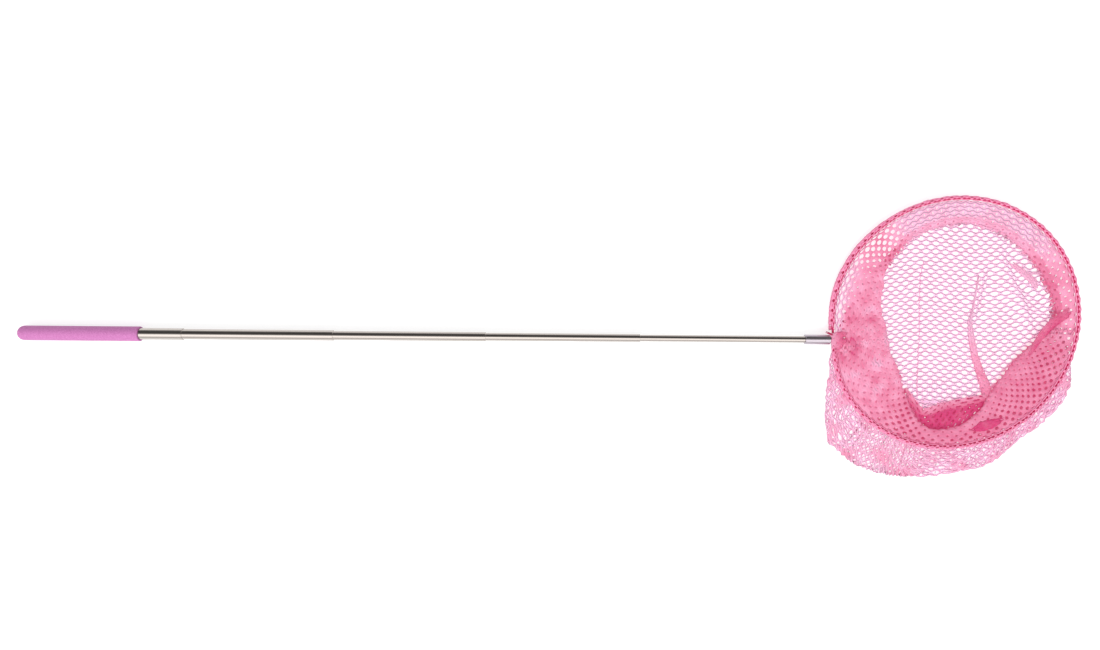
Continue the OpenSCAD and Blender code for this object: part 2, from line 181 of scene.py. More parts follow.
def feed(socket, value):
    """Gives an input a value, or links it to an output. A node stands for its first output."""
    if isinstance(value, bpy.types.Node):
        value = value.outputs[0]
    if isinstance(value, bpy.types.NodeSocket):
        socket.id_data.links.new(value, socket)
    else:
        socket.default_value = value


def add_node(tree, kind, links=None, **settings):
    """Adds a node. settings are its own properties, and links says what its inputs are fed with."""
    node = tree.nodes.new(kind)
    for name, value in settings.items():
        setattr(node, name, value)
    for name, value in (links or {}).items():
        feed(node.inputs[name], value)
    return node


# %% [markdown]
# The camera stands above the middle of the net and looks straight down. It was near
# enough for a wide lens, so the hoop, which lies at one end of the picture, is seen a
# little from the side. The whole net is turned by half a degree in the picture, and the
# camera is rolled by as much.

# %% The camera
# in mm from the frame's middle, and above the pole
CAMERA_PLACE, CAMERA_HEIGHT, POLE_HEIGHT = (-0.36, 6.9), 570, 6
LENS_LENGTH, SENSOR_WIDTH, CAMERA_ROLL = 22.9, 36, 0.486

camera_data = bpy.data.cameras.new("camera")
camera_data.lens = LENS_LENGTH
camera_data.sensor_width = SENSOR_WIDTH
camera = bpy.data.objects.new("camera", camera_data)
camera.location = (CAMERA_PLACE[0] * MM, CAMERA_PLACE[1] * MM, (CAMERA_HEIGHT + POLE_HEIGHT) * MM)
camera.rotation_euler = (0, 0, math.radians(CAMERA_ROLL))
bpy.context.scene.collection.objects.link(camera)
bpy.context.scene.camera = camera
bpy.context.scene.view_settings.view_transform = "Standard"
print("camera at", [round(v, 3) for v in camera.location], "m")

# %% [markdown]
# The table is a sheet of white paper. Its own colour is a pale grey-white, so it keeps
# the shadow of the net. For the camera, and for what shows in metal, a little light of
# its own lifts it to the white of the picture.

# %% White paper
PAPER_COLOUR, PAPER_GLOW = "#C8C8C8", 0.6


def rays(add, first, *others):
    """A value that is 1 for rays of any of these kinds."""
    path = add("ShaderNodeLightPath").outputs
    share = path[f"Is {first} Ray"]
    for kind in others:
        share = add("ShaderNodeMath", {0: share, 1: path[f"Is {kind} Ray"]}, operation="MAXIMUM")
    return share


def white_paper():
    material = bpy.data.materials.new("white paper")
    material.use_nodes = True
    material.node_tree.nodes.clear()
    add = partial(add_node, material.node_tree)
    paper = add("ShaderNodeBsdfDiffuse", {"Color": linear(PAPER_COLOUR)})
    glow = add("ShaderNodeEmission", {"Color": (1, 1, 1, 1), "Strength": PAPER_GLOW})
    none = add("ShaderNodeEmission", {"Strength": 0.0})
    lift = add("ShaderNodeMixShader", {0: rays(add, "Camera", "Transmission", "Glossy"), 1: none, 2: glow})
    add("ShaderNodeOutputMaterial", {"Surface": add("ShaderNodeAddShader", {0: paper, 1: lift})})
    return material


# %% The table
def mesh_object(name, points, faces, material):
    """A new object at the origin from points in metres."""
    mesh = bpy.data.meshes.new(name)
    mesh.from_pydata([tuple(p) for p in points], [], faces)
    mesh.materials.append(material)
    thing = bpy.data.objects.new(name, mesh)
    bpy.context.scene.collection.objects.link(thing)
    return thing


TABLE_HALF, TABLE_DROP = 6.0, 0.0002
corners = [(x * TABLE_HALF, y * TABLE_HALF, -TABLE_DROP) for x, y in ((-1, -1), (1, -1), (1, 1), (-1, 1))]
table = mesh_object("table", corners, [(0, 1, 2, 3)], white_paper())
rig.stage(table)
print("table", 2 * TABLE_HALF, "m wide")

# %% [markdown]
# The light is a white studio: an even sky, and one large soft lamp that gives the mesh
# its faint shadows. Polished steel shows the studio itself, and a studio is not white
# all round. Seen from a tube that lies along X, it is dark behind the lamps, over the
# tube's far side, and brightest where the big lamp hangs, over its near side. The sky
# has these bands for rays that come off metal only.

# %% The sky and its bands
SKY_STRENGTH, BAND_STRENGTH, BAND_TINT = 0.8, 2.0, (1, 0.975, 0.96)
BAND_LIGHT = [
    (0.00, 0.45), (0.15, 0.42), (0.26, 1.00), (0.42, 1.00),
    (0.50, 0.20), (0.60, 0.05), (0.74, 0.03), (0.87, 0.10), (1.00, 0.45),
]
world = bpy.data.worlds.new("studio")
bpy.context.scene.world = world
world.use_nodes = True
sky = world.node_tree
sky.nodes.clear()
add = partial(add_node, sky)
toward = add("ShaderNodeTexCoord")
axes = add("ShaderNodeSeparateXYZ", {0: toward.outputs["Generated"]})
across = add("ShaderNodeCombineXYZ", {"Y": axes.outputs["Y"], "Z": axes.outputs["Z"]})
across = add("ShaderNodeVectorMath", {0: across}, operation="NORMALIZE")
side = add("ShaderNodeSeparateXYZ", {0: across})
angle = add("ShaderNodeMath", {0: side.outputs["Y"], 1: side.outputs["Z"]}, operation="ARCTAN2")
place = add("ShaderNodeMapRange", {"Value": angle, "From Min": -math.pi / 2, "From Max": math.pi / 2})
bands = add("ShaderNodeValToRGB", {"Fac": place})
for entry in list(bands.color_ramp.elements)[1:]:
    bands.color_ramp.elements.remove(entry)
for k, (spot, light) in enumerate(BAND_LIGHT):
    entry = bands.color_ramp.elements[0] if k == 0 else bands.color_ramp.elements.new(spot)
    entry.position = spot
    entry.color = [light * c for c in BAND_TINT] + [1]
even = add("ShaderNodeBackground", {"Color": (1, 1, 1, 1), "Strength": SKY_STRENGTH})
banded = add("ShaderNodeBackground", {"Color": bands, "Strength": BAND_STRENGTH})
plain = add("ShaderNodeBackground", {"Color": (1, 1, 1, 1), "Strength": 1.0})
glossy = add("ShaderNodeMixShader", {0: rays(add, "Glossy"), 1: even, 2: banded})
shown = add("ShaderNodeMixShader", {0: rays(add, "Camera", "Transmission"), 1: glossy, 2: plain})
add("ShaderNodeOutputWorld", {"Surface": shown})
print(sky.name, len(sky.nodes), "nodes")

# %% The soft box
LAMP_SIZE, LAMP_POWER = 0.9, 21.0
LAMP_PLACE, LAMP_AIM = Vector((-0.3, -1.3, 1.3)), Vector((0.1, 0, 0))
lamp_data = bpy.data.lights.new("soft box", "AREA")
lamp_data.shape = "SQUARE"
lamp_data.size = LAMP_SIZE
lamp_data.energy = LAMP_POWER
lamp = bpy.data.objects.new("soft box", lamp_data)
lamp.location = LAMP_PLACE
lamp.rotation_euler = (LAMP_AIM - LAMP_PLACE).to_track_quat("-Z", "Y").to_euler()
lamp.visible_glossy = False
bpy.context.scene.collection.objects.link(lamp)
print(lamp.name, LAMP_POWER, "W")

# %% [markdown]
# ## Turned and drawn metal
#
# The pole is stock chromed steel tube, drawn through a die and polished. Chromium gives
# a near mirror with a cool grey colour, and the drawing leaves the finest lines along
# the tube, which only soften the reflection. Where one tube slides in the next, the
# plating is rubbed, so it is a little rougher there in patches.

# %% Making a material
def set_inputs(shader, **values):
    """Feeds a shader's inputs, whose names are written with _ for a space."""
    for name, value in values.items():
        feed(shader.inputs[name.replace("_", " ")], value)


def surface(name, base, **values):
    """A new material. Gives it, what adds nodes to it, its Principled shader and the object's coordinates."""
    material = bpy.data.materials.new(name)
    material.use_nodes = True
    add = partial(add_node, material.node_tree)
    shader = material.node_tree.nodes["Principled BSDF"]
    shader.inputs["Base Color"].default_value = linear(base)
    set_inputs(shader, **values)
    return material, add, shader, add("ShaderNodeTexCoord").outputs["Object"]


def skin(add, shader, grain, low, high, height, depth, **values):
    """Gives a shader a roughness from low to high that follows a grain, and a bump with a depth in mm."""
    rough = add("ShaderNodeMapRange", {"Value": grain, "To Min": low, "To Max": high})
    bump = add("ShaderNodeBump", {"Height": height, "Distance": depth * MM})
    set_inputs(shader, Roughness=rough, Normal=bump, **values)
    return bump


# %% Chromed steel
# polished chromium plate, a cool grey mirror
steel, add, shader, where = surface("chromed steel, drawn", "#BDB6B1", Metallic=1.0)
# drawing lines 0.3 mm apart and 40 mm long
drawn = add("ShaderNodeMapping", {"Vector": where, "Scale": (0.025 / MM, 3 / MM, 3 / MM)})
lines = add("ShaderNodeTexNoise", {"Vector": drawn, "Scale": 1.0, "Detail": 2.0})
# rubbed patches 8 mm long and 3 mm wide
worn = add("ShaderNodeMapping", {"Vector": where, "Scale": (0.12 / MM, 0.3 / MM, 0.3 / MM)})
rubbed = add("ShaderNodeTexNoise", {"Vector": worn, "Scale": 1.0, "Detail": 3.0})
skin(add, shader, rubbed, 0.05, 0.2, lines, 0.004)
print(steel.name)

# %% [markdown]
# The ferrule and the small parts inside the pole are turned on a lathe: satin
# aluminium, brass bushes and spring steel. A lathe leaves rings round the axis, a tenth
# of a millimetre apart. They are too fine to show here, so they are drawn at a third of
# a millimetre and kept faint.

# %% Turned metals
def turned_metal(name, base, roughness):
    """A metal with lathe rings across X and a slightly uneven gloss."""
    material, add, shader, where = surface(name, base, Metallic=1.0)
    across = add("ShaderNodeMapping", {"Vector": where, "Scale": (3 / MM / math.tau, 0, 0)})
    rings = add(
        "ShaderNodeTexWave", {"Vector": across, "Scale": 1.0, "Distortion": 0.4}, wave_type="BANDS", bands_direction="X"
    )
    grain = add("ShaderNodeTexNoise", {"Vector": where, "Scale": 1.5 / MM, "Detail": 3.0})
    skin(add, shader, grain, 0.7 * roughness, 1.4 * roughness, rings.outputs["Fac"], 0.004)
    print(material.name)
    return material


# bare aluminium, turned and then satin finished
satin_aluminium = turned_metal("satin aluminium, turned", "#BEB6BF", 0.3)
# yellow brass bar, turned
brass = turned_metal("brass, turned", "#D8B060", 0.28)
# bare spring steel strip
spring_steel = turned_metal("spring steel, rolled", "#B4B4B2", 0.3)

# %% [markdown]
# ## Plastics
#
# The grip is a sleeve of mauve-pink plastic with a fine grained skin, like the skin of
# moulded foam. Grains half a millimetre across catch the light as a speckle. The plugs
# inside are plain white moulded plastic.

# %% Grained plastic
def grained_plastic(name, base, dark, grain, depth, roughness):
    """A plastic whose skin has grains of the given size and depth in mm. The hollows are darker."""
    material, add, shader, where = surface(name, base)
    cells = add("ShaderNodeTexVoronoi", {"Vector": where, "Scale": 1 / (grain * MM)})
    cloud = add("ShaderNodeTexNoise", {"Vector": where, "Scale": 0.4 / (grain * MM), "Detail": 4.0})
    bumps = add("ShaderNodeMath", {0: cells.outputs["Distance"], 1: cloud}, operation="MULTIPLY")
    share = add("ShaderNodeMapRange", {"Value": bumps, "From Max": 0.45})
    tint = add("ShaderNodeMix", {0: share, 6: linear(dark), 7: linear(base)}, data_type="RGBA").outputs[2]
    skin(add, shader, cloud, 0.8 * roughness, 1.2 * roughness, bumps, depth, Base_Color=tint)
    print(material.name)
    return material


# mauve-pink vinyl or foam, moulded with a grained skin
grip_plastic = grained_plastic("foam plastic, grained skin", "#D083BE", "#B2609C", 0.5, 0.05, 0.55)
# natural white polyethylene or nylon
white_plastic = grained_plastic("white moulded plastic", "#E8E6E0", "#D8D6D0", 0.3, 0.01, 0.5)

# %% [markdown]
# ## The pole
#
# Every round part is an outline turned about the pole's line, as on a lathe. The CAD
# nodes of the visible tubes have few sides, which shows on a mirror finish, so each is
# replaced by a smoother turned piece of the same sizes. The mouth of each tube is rolled
# in round the next one, which gives the small bright ring at every step.

# %% Turning
POLE_Y, TURN_STEPS, SHARP_ANGLE = -3.09785, 96, 35


def finish_piece(thing, slot, body, *nodes):
    """Smooths a piece with sharp edges kept, and ties it to its body, slot and nodes."""
    thing.data.shade_smooth()
    thing.data.set_sharp_from_angle(angle=math.radians(SHARP_ANGLE))
    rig.ride(thing, body)
    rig.slot(thing, slot)
    if nodes:
        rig.replaces(thing, *nodes)
    print(thing.name, len(thing.data.polygons), "faces")


def turned(name, outline, material):
    """Turns a closed outline of (x, radius), in mm, about the pole's line. A point on the line is shared."""
    points, rings = [], []
    for x, r in outline:
        if r == 0:
            rings.append([len(points)] * TURN_STEPS)
            points.append((x * MM, POLE_Y * MM, POLE_HEIGHT * MM))
            continue
        rings.append([len(points) + k for k in range(TURN_STEPS)])
        for k in range(TURN_STEPS):
            a = math.tau * k / TURN_STEPS
            points.append((x * MM, (POLE_Y + r * math.cos(a)) * MM, (POLE_HEIGHT + r * math.sin(a)) * MM))
    faces = []
    for here, there in zip(rings, rings[1:] + rings[:1]):
        for k in range(TURN_STEPS):
            n = (k + 1) % TURN_STEPS
            quad = list(dict.fromkeys((here[k], here[n], there[n], there[k])))
            if len(quad) > 2:
                faces.append(quad)
    return mesh_object(name, points, faces, material)


def rounded(x, r, radius, start, end, steps=8):
    """Points of an arc about (x, r) from start to end degrees, where 0 is along +X and 90 is outwards."""
    return [
        (x + radius * math.cos(math.radians(a)), r + radius * math.sin(math.radians(a)))
        for a in [start + (end - start) * k / steps for k in range(steps + 1)]
    ]


# %% [markdown]
# The five tubes step down by half a millimetre on the radius: 0.3 mm of wall and
# 0.2 mm of clear space.

# %% The five tubes
TUBE_REARS = [-429.11, -307.41, -185.11, -61.21, 64.29]
TUBE_FRONTS = [-298.71, -176.41, -52.51, 72.99, 216.09]
TUBE_BODIES = ["handle", "section_2", "section_3", "section_4", "head"]
TUBE_1_R, TUBE_STEP, TUBE_WALL = 4.75, 0.5, 0.3
LIP_LENGTH, LIP_GAP = 1.2, 0.05

for i in range(5):
    r = TUBE_1_R - i * TUBE_STEP
    rear, front = TUBE_REARS[i], TUBE_FRONTS[i]
    bore = r - TUBE_WALL
    lip = r - TUBE_STEP + LIP_GAP
    outline = [(rear, bore), (rear, r)]
    if i < 4:
        roll = r - lip
        outline += [(front - 2.2 * roll, r)]
        outline += rounded(front - 0.9 * roll, lip + 0.12 * roll, 0.88 * roll, 90, 0)
        outline += [(front - 0.1 * roll, lip), (front - LIP_LENGTH, lip), (front - LIP_LENGTH, bore)]
    else:
        outline += [(front, r), (front, bore)]
    tube = turned("steel_tube_%d" % (i + 1), outline[::-1], steel)
    finish_piece(tube, "pole_steel", TUBE_BODIES[i], "pole_tube_%d" % (i + 1))

# %% [markdown]
# ## The grip and the ferrule
#
# The grip is closed and rounded at the butt. At its other end the skin is cut off
# square, with a small rounding, and the tube comes out of it.

# %% The grip
GRIP_X, GRIP_LENGTH, GRIP_R = -432.31, 98.6, 6
BUTT_RADIUS, BUTT_WALL, LIP_RADIUS = 4.6, 2, 0.6
PRESS_GAP = 0.02
front = GRIP_X + GRIP_LENGTH
outline = [(GRIP_X + BUTT_WALL, 0), (GRIP_X + BUTT_WALL, TUBE_1_R + PRESS_GAP), (front, TUBE_1_R + PRESS_GAP)]
outline += rounded(front - LIP_RADIUS, GRIP_R - LIP_RADIUS, LIP_RADIUS, 0, 90, 6)
outline += [(front - GRIP_LENGTH * k / 12, GRIP_R) for k in range(1, 12)]
outline += rounded(GRIP_X + BUTT_RADIUS, GRIP_R - BUTT_RADIUS, BUTT_RADIUS, 90, 180, 14)
outline += [(GRIP_X, 0)]
finish_piece(turned("grip", outline, grip_plastic), "grip_plastic", "handle", "grip_sleeve")

# %% [markdown]
# The ferrule is a short satin sleeve with rounded ends, slipped over the last tube.

# %% The ferrule
FERRULE_X, FERRULE_LENGTH, FERRULE_R, CHAMFER = 207.09, 20.3, 4, 0.4
bore = TUBE_1_R - 4 * TUBE_STEP + PRESS_GAP
front = FERRULE_X + FERRULE_LENGTH
outline = [(FERRULE_X, bore), (front, bore)]
outline += rounded(front - CHAMFER, FERRULE_R - CHAMFER, CHAMFER, 0, 90, 5)
outline += rounded(FERRULE_X + CHAMFER, FERRULE_R - CHAMFER, CHAMFER, 90, 180, 5)
finish_piece(turned("ferrule_sleeve", outline, satin_aluminium), "ferrule_aluminium", "head", "ferrule")

# %% [markdown]
# The parts inside the pole show only when it is taken apart. Their CAD nodes stay and
# get the same turned finishes.

# %% Finishes of the inner parts
FINISHES = {"brass": brass, "spring_steel": spring_steel, "white_plastic": white_plastic}


def refinish(name, material):
    """Gives a CAD node another material."""
    slots = frame["nodes"][name].data.materials
    slots.clear()
    slots.append(material)
    print(name, "is", material.name)


for part in frame["record"]["subparts"]:
    if part["material_slot"] in FINISHES:
        refinish(part["node"], FINISHES[part["material_slot"]])

# %% [markdown]
# ## The hoop
#
# The hoop is an oval of wire, a little longer than wide and turned by 45 degrees. It is
# pressed in beside the ferrule. A place on it is given by its angle about the oval's
# middle, and everything that hangs from it is placed by that angle and a distance from
# the wire, inwards or outwards.

# %% The hoop's shape
HOOP_X, HOOP_Y = 328.598, 11.902
HOOP_LONG, HOOP_SHORT, HOOP_TURN = 210.4, 195.0, 44.7
HOOP_DENT, DENT_WIDTH, POLE_ANGLE = 3.0, 18.0, 188.773
HOOP_MEAN = (HOOP_LONG + HOOP_SHORT) / 4


def hoop_radius(angle):
    """From the hoop's middle to the wire, in mm, at an angle in degrees."""
    turned_by = math.radians(angle - HOOP_TURN)
    oval = HOOP_LONG * HOOP_SHORT / 2 / math.hypot(HOOP_SHORT * math.cos(turned_by), HOOP_LONG * math.sin(turned_by))
    return oval - HOOP_DENT * math.exp(-(((angle % 360 - POLE_ANGLE) / DENT_WIDTH) ** 2))


def by_hoop(angle, out, z):
    """The point, in mm, that lies that far outside the wire at the angle, and z above the table."""
    r = hoop_radius(angle) + out
    return HOOP_X + r * math.cos(math.radians(angle)), HOOP_Y + r * math.sin(math.radians(angle)), z


def around(table, angle):
    """A smooth value between the entries of a table that goes once round the hoop."""
    n = len(table)
    s = angle % 360 / 360 * n
    i, t = int(s), s - int(s)
    p0, p1, p2, p3 = (table[(i + k) % n] for k in (-1, 0, 1, 2))
    return p1 + t / 2 * (p2 - p0 + t * (2 * p0 - 5 * p1 + 4 * p2 - p3 + t * (3 * (p1 - p2) + p3 - p0)))


print("hoop radius at 0, 90, 180 and 270 degrees:", [round(hoop_radius(a), 1) for a in (0, 90, 180, 270)])

# %% [markdown]
# ## How the net is knit
#
# The net is a knitted lattice of flat hexagons, staggered like bricks. Each cell has
# twelve corners. Five things are stored with the cells: how far the yarn reaches in from
# each corner, which shapes the hole as a rounded eye, whether a point is on the cloth's
# border, how deep in the folds it lies, which darkens it, how close the yarn is there,
# and where a strand is drawn tight. A Geometry Nodes tree then turns every cell into yarn.

# %% Cells
CELL_WIDTH = 8.15
ROW_STEP = 3.26
HALF = CELL_WIDTH / 2
# x and y from the cell's middle, how far the yarn reaches in, and how much it is drawn tight
CELL_QUARTER = [(0, 2.36, 0.9, 0.8), (HALF / 2, 1.63, 0.745, 1.0), (HALF, 0.9, 1.82, 0.8), (HALF, 0, 1.62, 0.1)]
CELL = [(x * sx, y * sy, reach, line) for sx, sy, part in (
    (1, 1, CELL_QUARTER), (1, -1, CELL_QUARTER[2::-1]), (-1, -1, CELL_QUARTER[1:]), (-1, 1, CELL_QUARTER[2:0:-1])
) for x, y, reach, line in part]
HOOP_CELLS = 78


class Cloth:
    """Cells of one panel, from several zones of it."""

    def __init__(self):
        self.points, self.faces, self.reach = [], [], []
        self.depth, self.close, self.line = [], [], []
        self.known = {}

    def zone(self, name, cells, place, depth, close, rows=0):
        """Adds the cells with these middles. place(x, y) gives a point's place in mm, and depth and
        close take that place. A zone that closes on itself has that many rows."""
        for cx, cy in cells:
            face = []
            for dx, dy, _, line in CELL:
                row = round((cy + dy) * 100)
                if rows:
                    row %= round(rows * ROW_STEP * 100)
                key = (name, round((cx + dx) / CELL_WIDTH * 4), row)
                if key not in self.known:
                    self.known[key] = len(self.points)
                    p = place(cx + dx, cy + dy)
                    self.points.append(p)
                    self.depth.append(depth(p))
                    self.close.append(close(p))
                    self.line.append(line)
                face.append(self.known[key])
            self.faces.append(face)
            self.reach += [reach for _, _, reach, _ in CELL]

    def border(self):
        """The points on an open edge."""
        uses = Counter(frozenset(edge) for face in self.faces for edge in zip(face, face[1:] + face[:1]))
        return {p for edge, n in uses.items() if n == 1 for p in edge}

    def mesh(self, name):
        mesh = bpy.data.meshes.new(name)
        mesh.from_pydata([[c * MM for c in p] for p in self.points], [], self.faces)
        edge = self.border()
        for title, domain, values in (
            ("reach", "CORNER", [r * MM for r in self.reach]),
            ("inner", "POINT", [0.0 if k in edge else 1.0 for k in range(len(self.points))]),
            ("depth", "POINT", self.depth),
            ("close", "POINT", self.close),
            ("line", "POINT", self.line),
        ):
            mesh.attributes.new(title, "FLOAT", domain).data.foreach_set("value", values)
        return mesh


def lattice(reach):
    """The middles of the cells in a square of lattice coordinates."""
    for j in range(math.ceil(-reach / ROW_STEP), math.floor(reach / ROW_STEP) + 1):
        shift = 0.5 * (j % 2)
        for i in range(math.ceil(-reach / CELL_WIDTH - shift), math.floor(reach / CELL_WIDTH - shift) + 1):
            yield (i + shift) * CELL_WIDTH, j * ROW_STEP


print("one cell has", len(CELL), "corners")

# %% [markdown]
# The tree works on one cell at a time. It cuts the cells apart, insets each one towards
# its own middle by the yarn's reach, drops the middle, which leaves the hole, and raises
# a front and a back from what is left, thickest along the middle of the yarn and thin
# at the hole. At last the cells are welded again into one closed skin.

# %% Values that the cells carry
def stored(add, title):
    return add("GeometryNodeInputNamedAttribute", {"Name": title}, data_type="FLOAT")


def kept(add, geometry, value, kind):
    """Keeps a value with the points as it is now. Gives the geometry and the kept value."""
    node = add("GeometryNodeCaptureAttribute", domain="POINT")
    node.capture_items.new(kind, "kept")
    feed(node.inputs[0], geometry)
    feed(node.inputs[1], value)
    return node.outputs[0], node.outputs[1]


# %% Cutting the holes
RING_SHARES = (0.6, 1.0)


def cut_holes(add, given, net):
    """Insets every cell in two rings and drops its middle. Gives the net and both rings."""
    place = add("GeometryNodeInputPosition")
    reach = add("ShaderNodeMath", {0: stored(add, "reach"), 1: stored(add, "close")}, operation="MULTIPLY")
    net, reach = kept(add, net, reach, "FLOAT")
    centre = add("GeometryNodeFieldOnDomain", {"Value": place}, data_type="FLOAT_VECTOR", domain="FACE")
    net, centre = kept(add, net, centre, "VECTOR")
    arm = add("ShaderNodeVectorMath", {0: place, 1: centre}, operation="SUBTRACT")
    net, arm = kept(add, net, arm, "VECTOR")
    length = add("ShaderNodeVectorMath", {0: arm}, operation="LENGTH").outputs["Value"]
    width = add("ShaderNodeMath", {0: reach, 1: given["Strand width"]}, operation="MULTIPLY")
    width = add("ShaderNodeMath", {0: width, 1: length}, operation="DIVIDE")
    rings, tops = [], True
    for part in RING_SHARES:
        grown = add("GeometryNodeExtrudeMesh", {"Mesh": net, "Selection": tops, "Offset Scale": 0.0}, mode="FACES")
        tops = grown.outputs["Top"]
        used = add("ShaderNodeMath", {0: width, 1: part}, operation="MULTIPLY")
        left = add("ShaderNodeMath", {0: 1.0, 1: used}, operation="SUBTRACT")
        least = add("ShaderNodeMath", {0: given["Least share"], 1: 1.0 / part}, operation="MULTIPLY")
        left = add("ShaderNodeMath", {0: left, 1: least}, operation="MAXIMUM")
        inwards = add("ShaderNodeVectorMath", {0: arm, "Scale": left}, operation="SCALE")
        inset = add("ShaderNodeVectorMath", {0: centre, 1: inwards}, operation="ADD")
        net = add("GeometryNodeSetPosition", {"Geometry": grown, "Selection": tops, "Position": inset})
        net, ring = kept(add, net, tops, "BOOLEAN")
        rings.append(ring)
    net = add("GeometryNodeDeleteGeometry", {"Geometry": net, "Selection": tops}, domain="FACE")
    return net, rings


# %% Raising the yarn
RING_HEIGHT = 0.8


def raise_yarn(add, given, net, normal, rings):
    """Raises a front and a back from the flat yarn and welds them into one skin."""
    values = {"Switch": rings[0], "False": stored(add, "inner"), "True": RING_HEIGHT}
    away = add("GeometryNodeSwitch", values, input_type="FLOAT")
    rim = add("ShaderNodeMath", {0: 1.0, 1: rings[1]}, operation="SUBTRACT")
    edge = add("ShaderNodeMath", {0: rings[0], 1: rings[1]}, operation="ADD")
    values = {"Geometry": net, "Name": "edge", "Value": edge}
    net = add("GeometryNodeStoreNamedAttribute", values, data_type="FLOAT", domain="POINT")
    away = add("ShaderNodeMath", {0: away, 1: rim}, operation="MULTIPLY")
    away = add("ShaderNodeMath", {0: away, 1: given["Thickness"]}, operation="MULTIPLY")
    sides = []
    for way in (0.5, -0.5):
        share = add("ShaderNodeMath", {0: away, 1: way}, operation="MULTIPLY")
        step = add("ShaderNodeVectorMath", {0: normal, "Scale": share}, operation="SCALE")
        sides.append(add("GeometryNodeSetPosition", {"Geometry": net, "Offset": step}))
    both = add("GeometryNodeJoinGeometry", {0: sides[0]})
    feed(both.inputs[0], add("GeometryNodeFlipFaces", {"Mesh": sides[1]}))
    return add("GeometryNodeMergeByDistance", {"Geometry": both, "Distance": given["Weld distance"]})


# %% The tree that knits
def knit_tree():
    tree = bpy.data.node_groups.new("knit net", "GeometryNodeTree")
    for title, kind in (
        ("Cells", "Geometry"), ("Strand width", "Float"), ("Thickness", "Float"),
        ("Least share", "Float"), ("Weld distance", "Float"), ("Material", "Material"),
    ):
        tree.interface.new_socket(title, socket_type="NodeSocket" + kind, in_out="INPUT")
    tree.interface.new_socket("Net", socket_type="NodeSocketGeometry", in_out="OUTPUT")
    add = partial(add_node, tree)
    given = add("NodeGroupInput").outputs
    net, normal = kept(add, given["Cells"], add("GeometryNodeInputNormal"), "VECTOR")
    net, rings = cut_holes(add, given, add("GeometryNodeSplitEdges", {"Mesh": net}))
    net = add("GeometryNodeSetShadeSmooth", {"Geometry": raise_yarn(add, given, net, normal, rings)})
    net = add("GeometryNodeSetMaterial", {"Geometry": net, "Material": given["Material"]})
    net = add("GeometryNodeRealizeInstances", {"Geometry": net})
    add("NodeGroupOutput", {"Net": net})
    print(tree.name, len(tree.nodes), "nodes")
    return tree


KNIT = knit_tree()

# %% Knitting a piece
YARN_THICKNESS, STRAND_WIDTH, LEAST_SHARE, WELD_DISTANCE = 0.7, 1.0, 0.12, 0.002


def knit(name, cloth, material, thickness=YARN_THICKNESS):
    """One plain mesh object of yarn from the cells of a cloth."""
    thing = bpy.data.objects.new(name, cloth.mesh(name + "_cells"))
    bpy.context.scene.collection.objects.link(thing)
    modifier = thing.modifiers.new("knit net", "NODES")
    modifier.node_group = KNIT
    values = {
        "Strand width": STRAND_WIDTH, "Thickness": thickness * MM, "Least share": LEAST_SHARE,
        "Weld distance": WELD_DISTANCE * MM, "Material": material,
    }
    for item in KNIT.interface.items_tree:
        if item.name in values:
            modifier[item.identifier] = values[item.name]
    mesh = bpy.data.meshes.new_from_object(thing.evaluated_get(bpy.context.evaluated_depsgraph_get()))
    thing.modifiers.clear()
    thing.data = mesh
    mesh.name = name
    print(name, len(cloth.faces), "cells,", len(mesh.polygons), "faces")
    return thing


# %% [markdown]
# ## The yarn
#
# The yarn is soft pink nylon, knitted from fine fibres. Light goes through it, so it
# glows where it lies on the white table, and turns to a deep rose where several layers
# lie on each other. The fibres are 0.05 mm thick, too fine to show, so the loops are
# drawn instead, 0.5 mm apart. Fine fibres also scatter light from strand to strand,
# which a closed skin would lose, so the yarn has a little light of its own.

# %% Knitted nylon
PATCHY_TINT, CORE_SHARE, SCATTER = 0.12, 0.95, 0.46


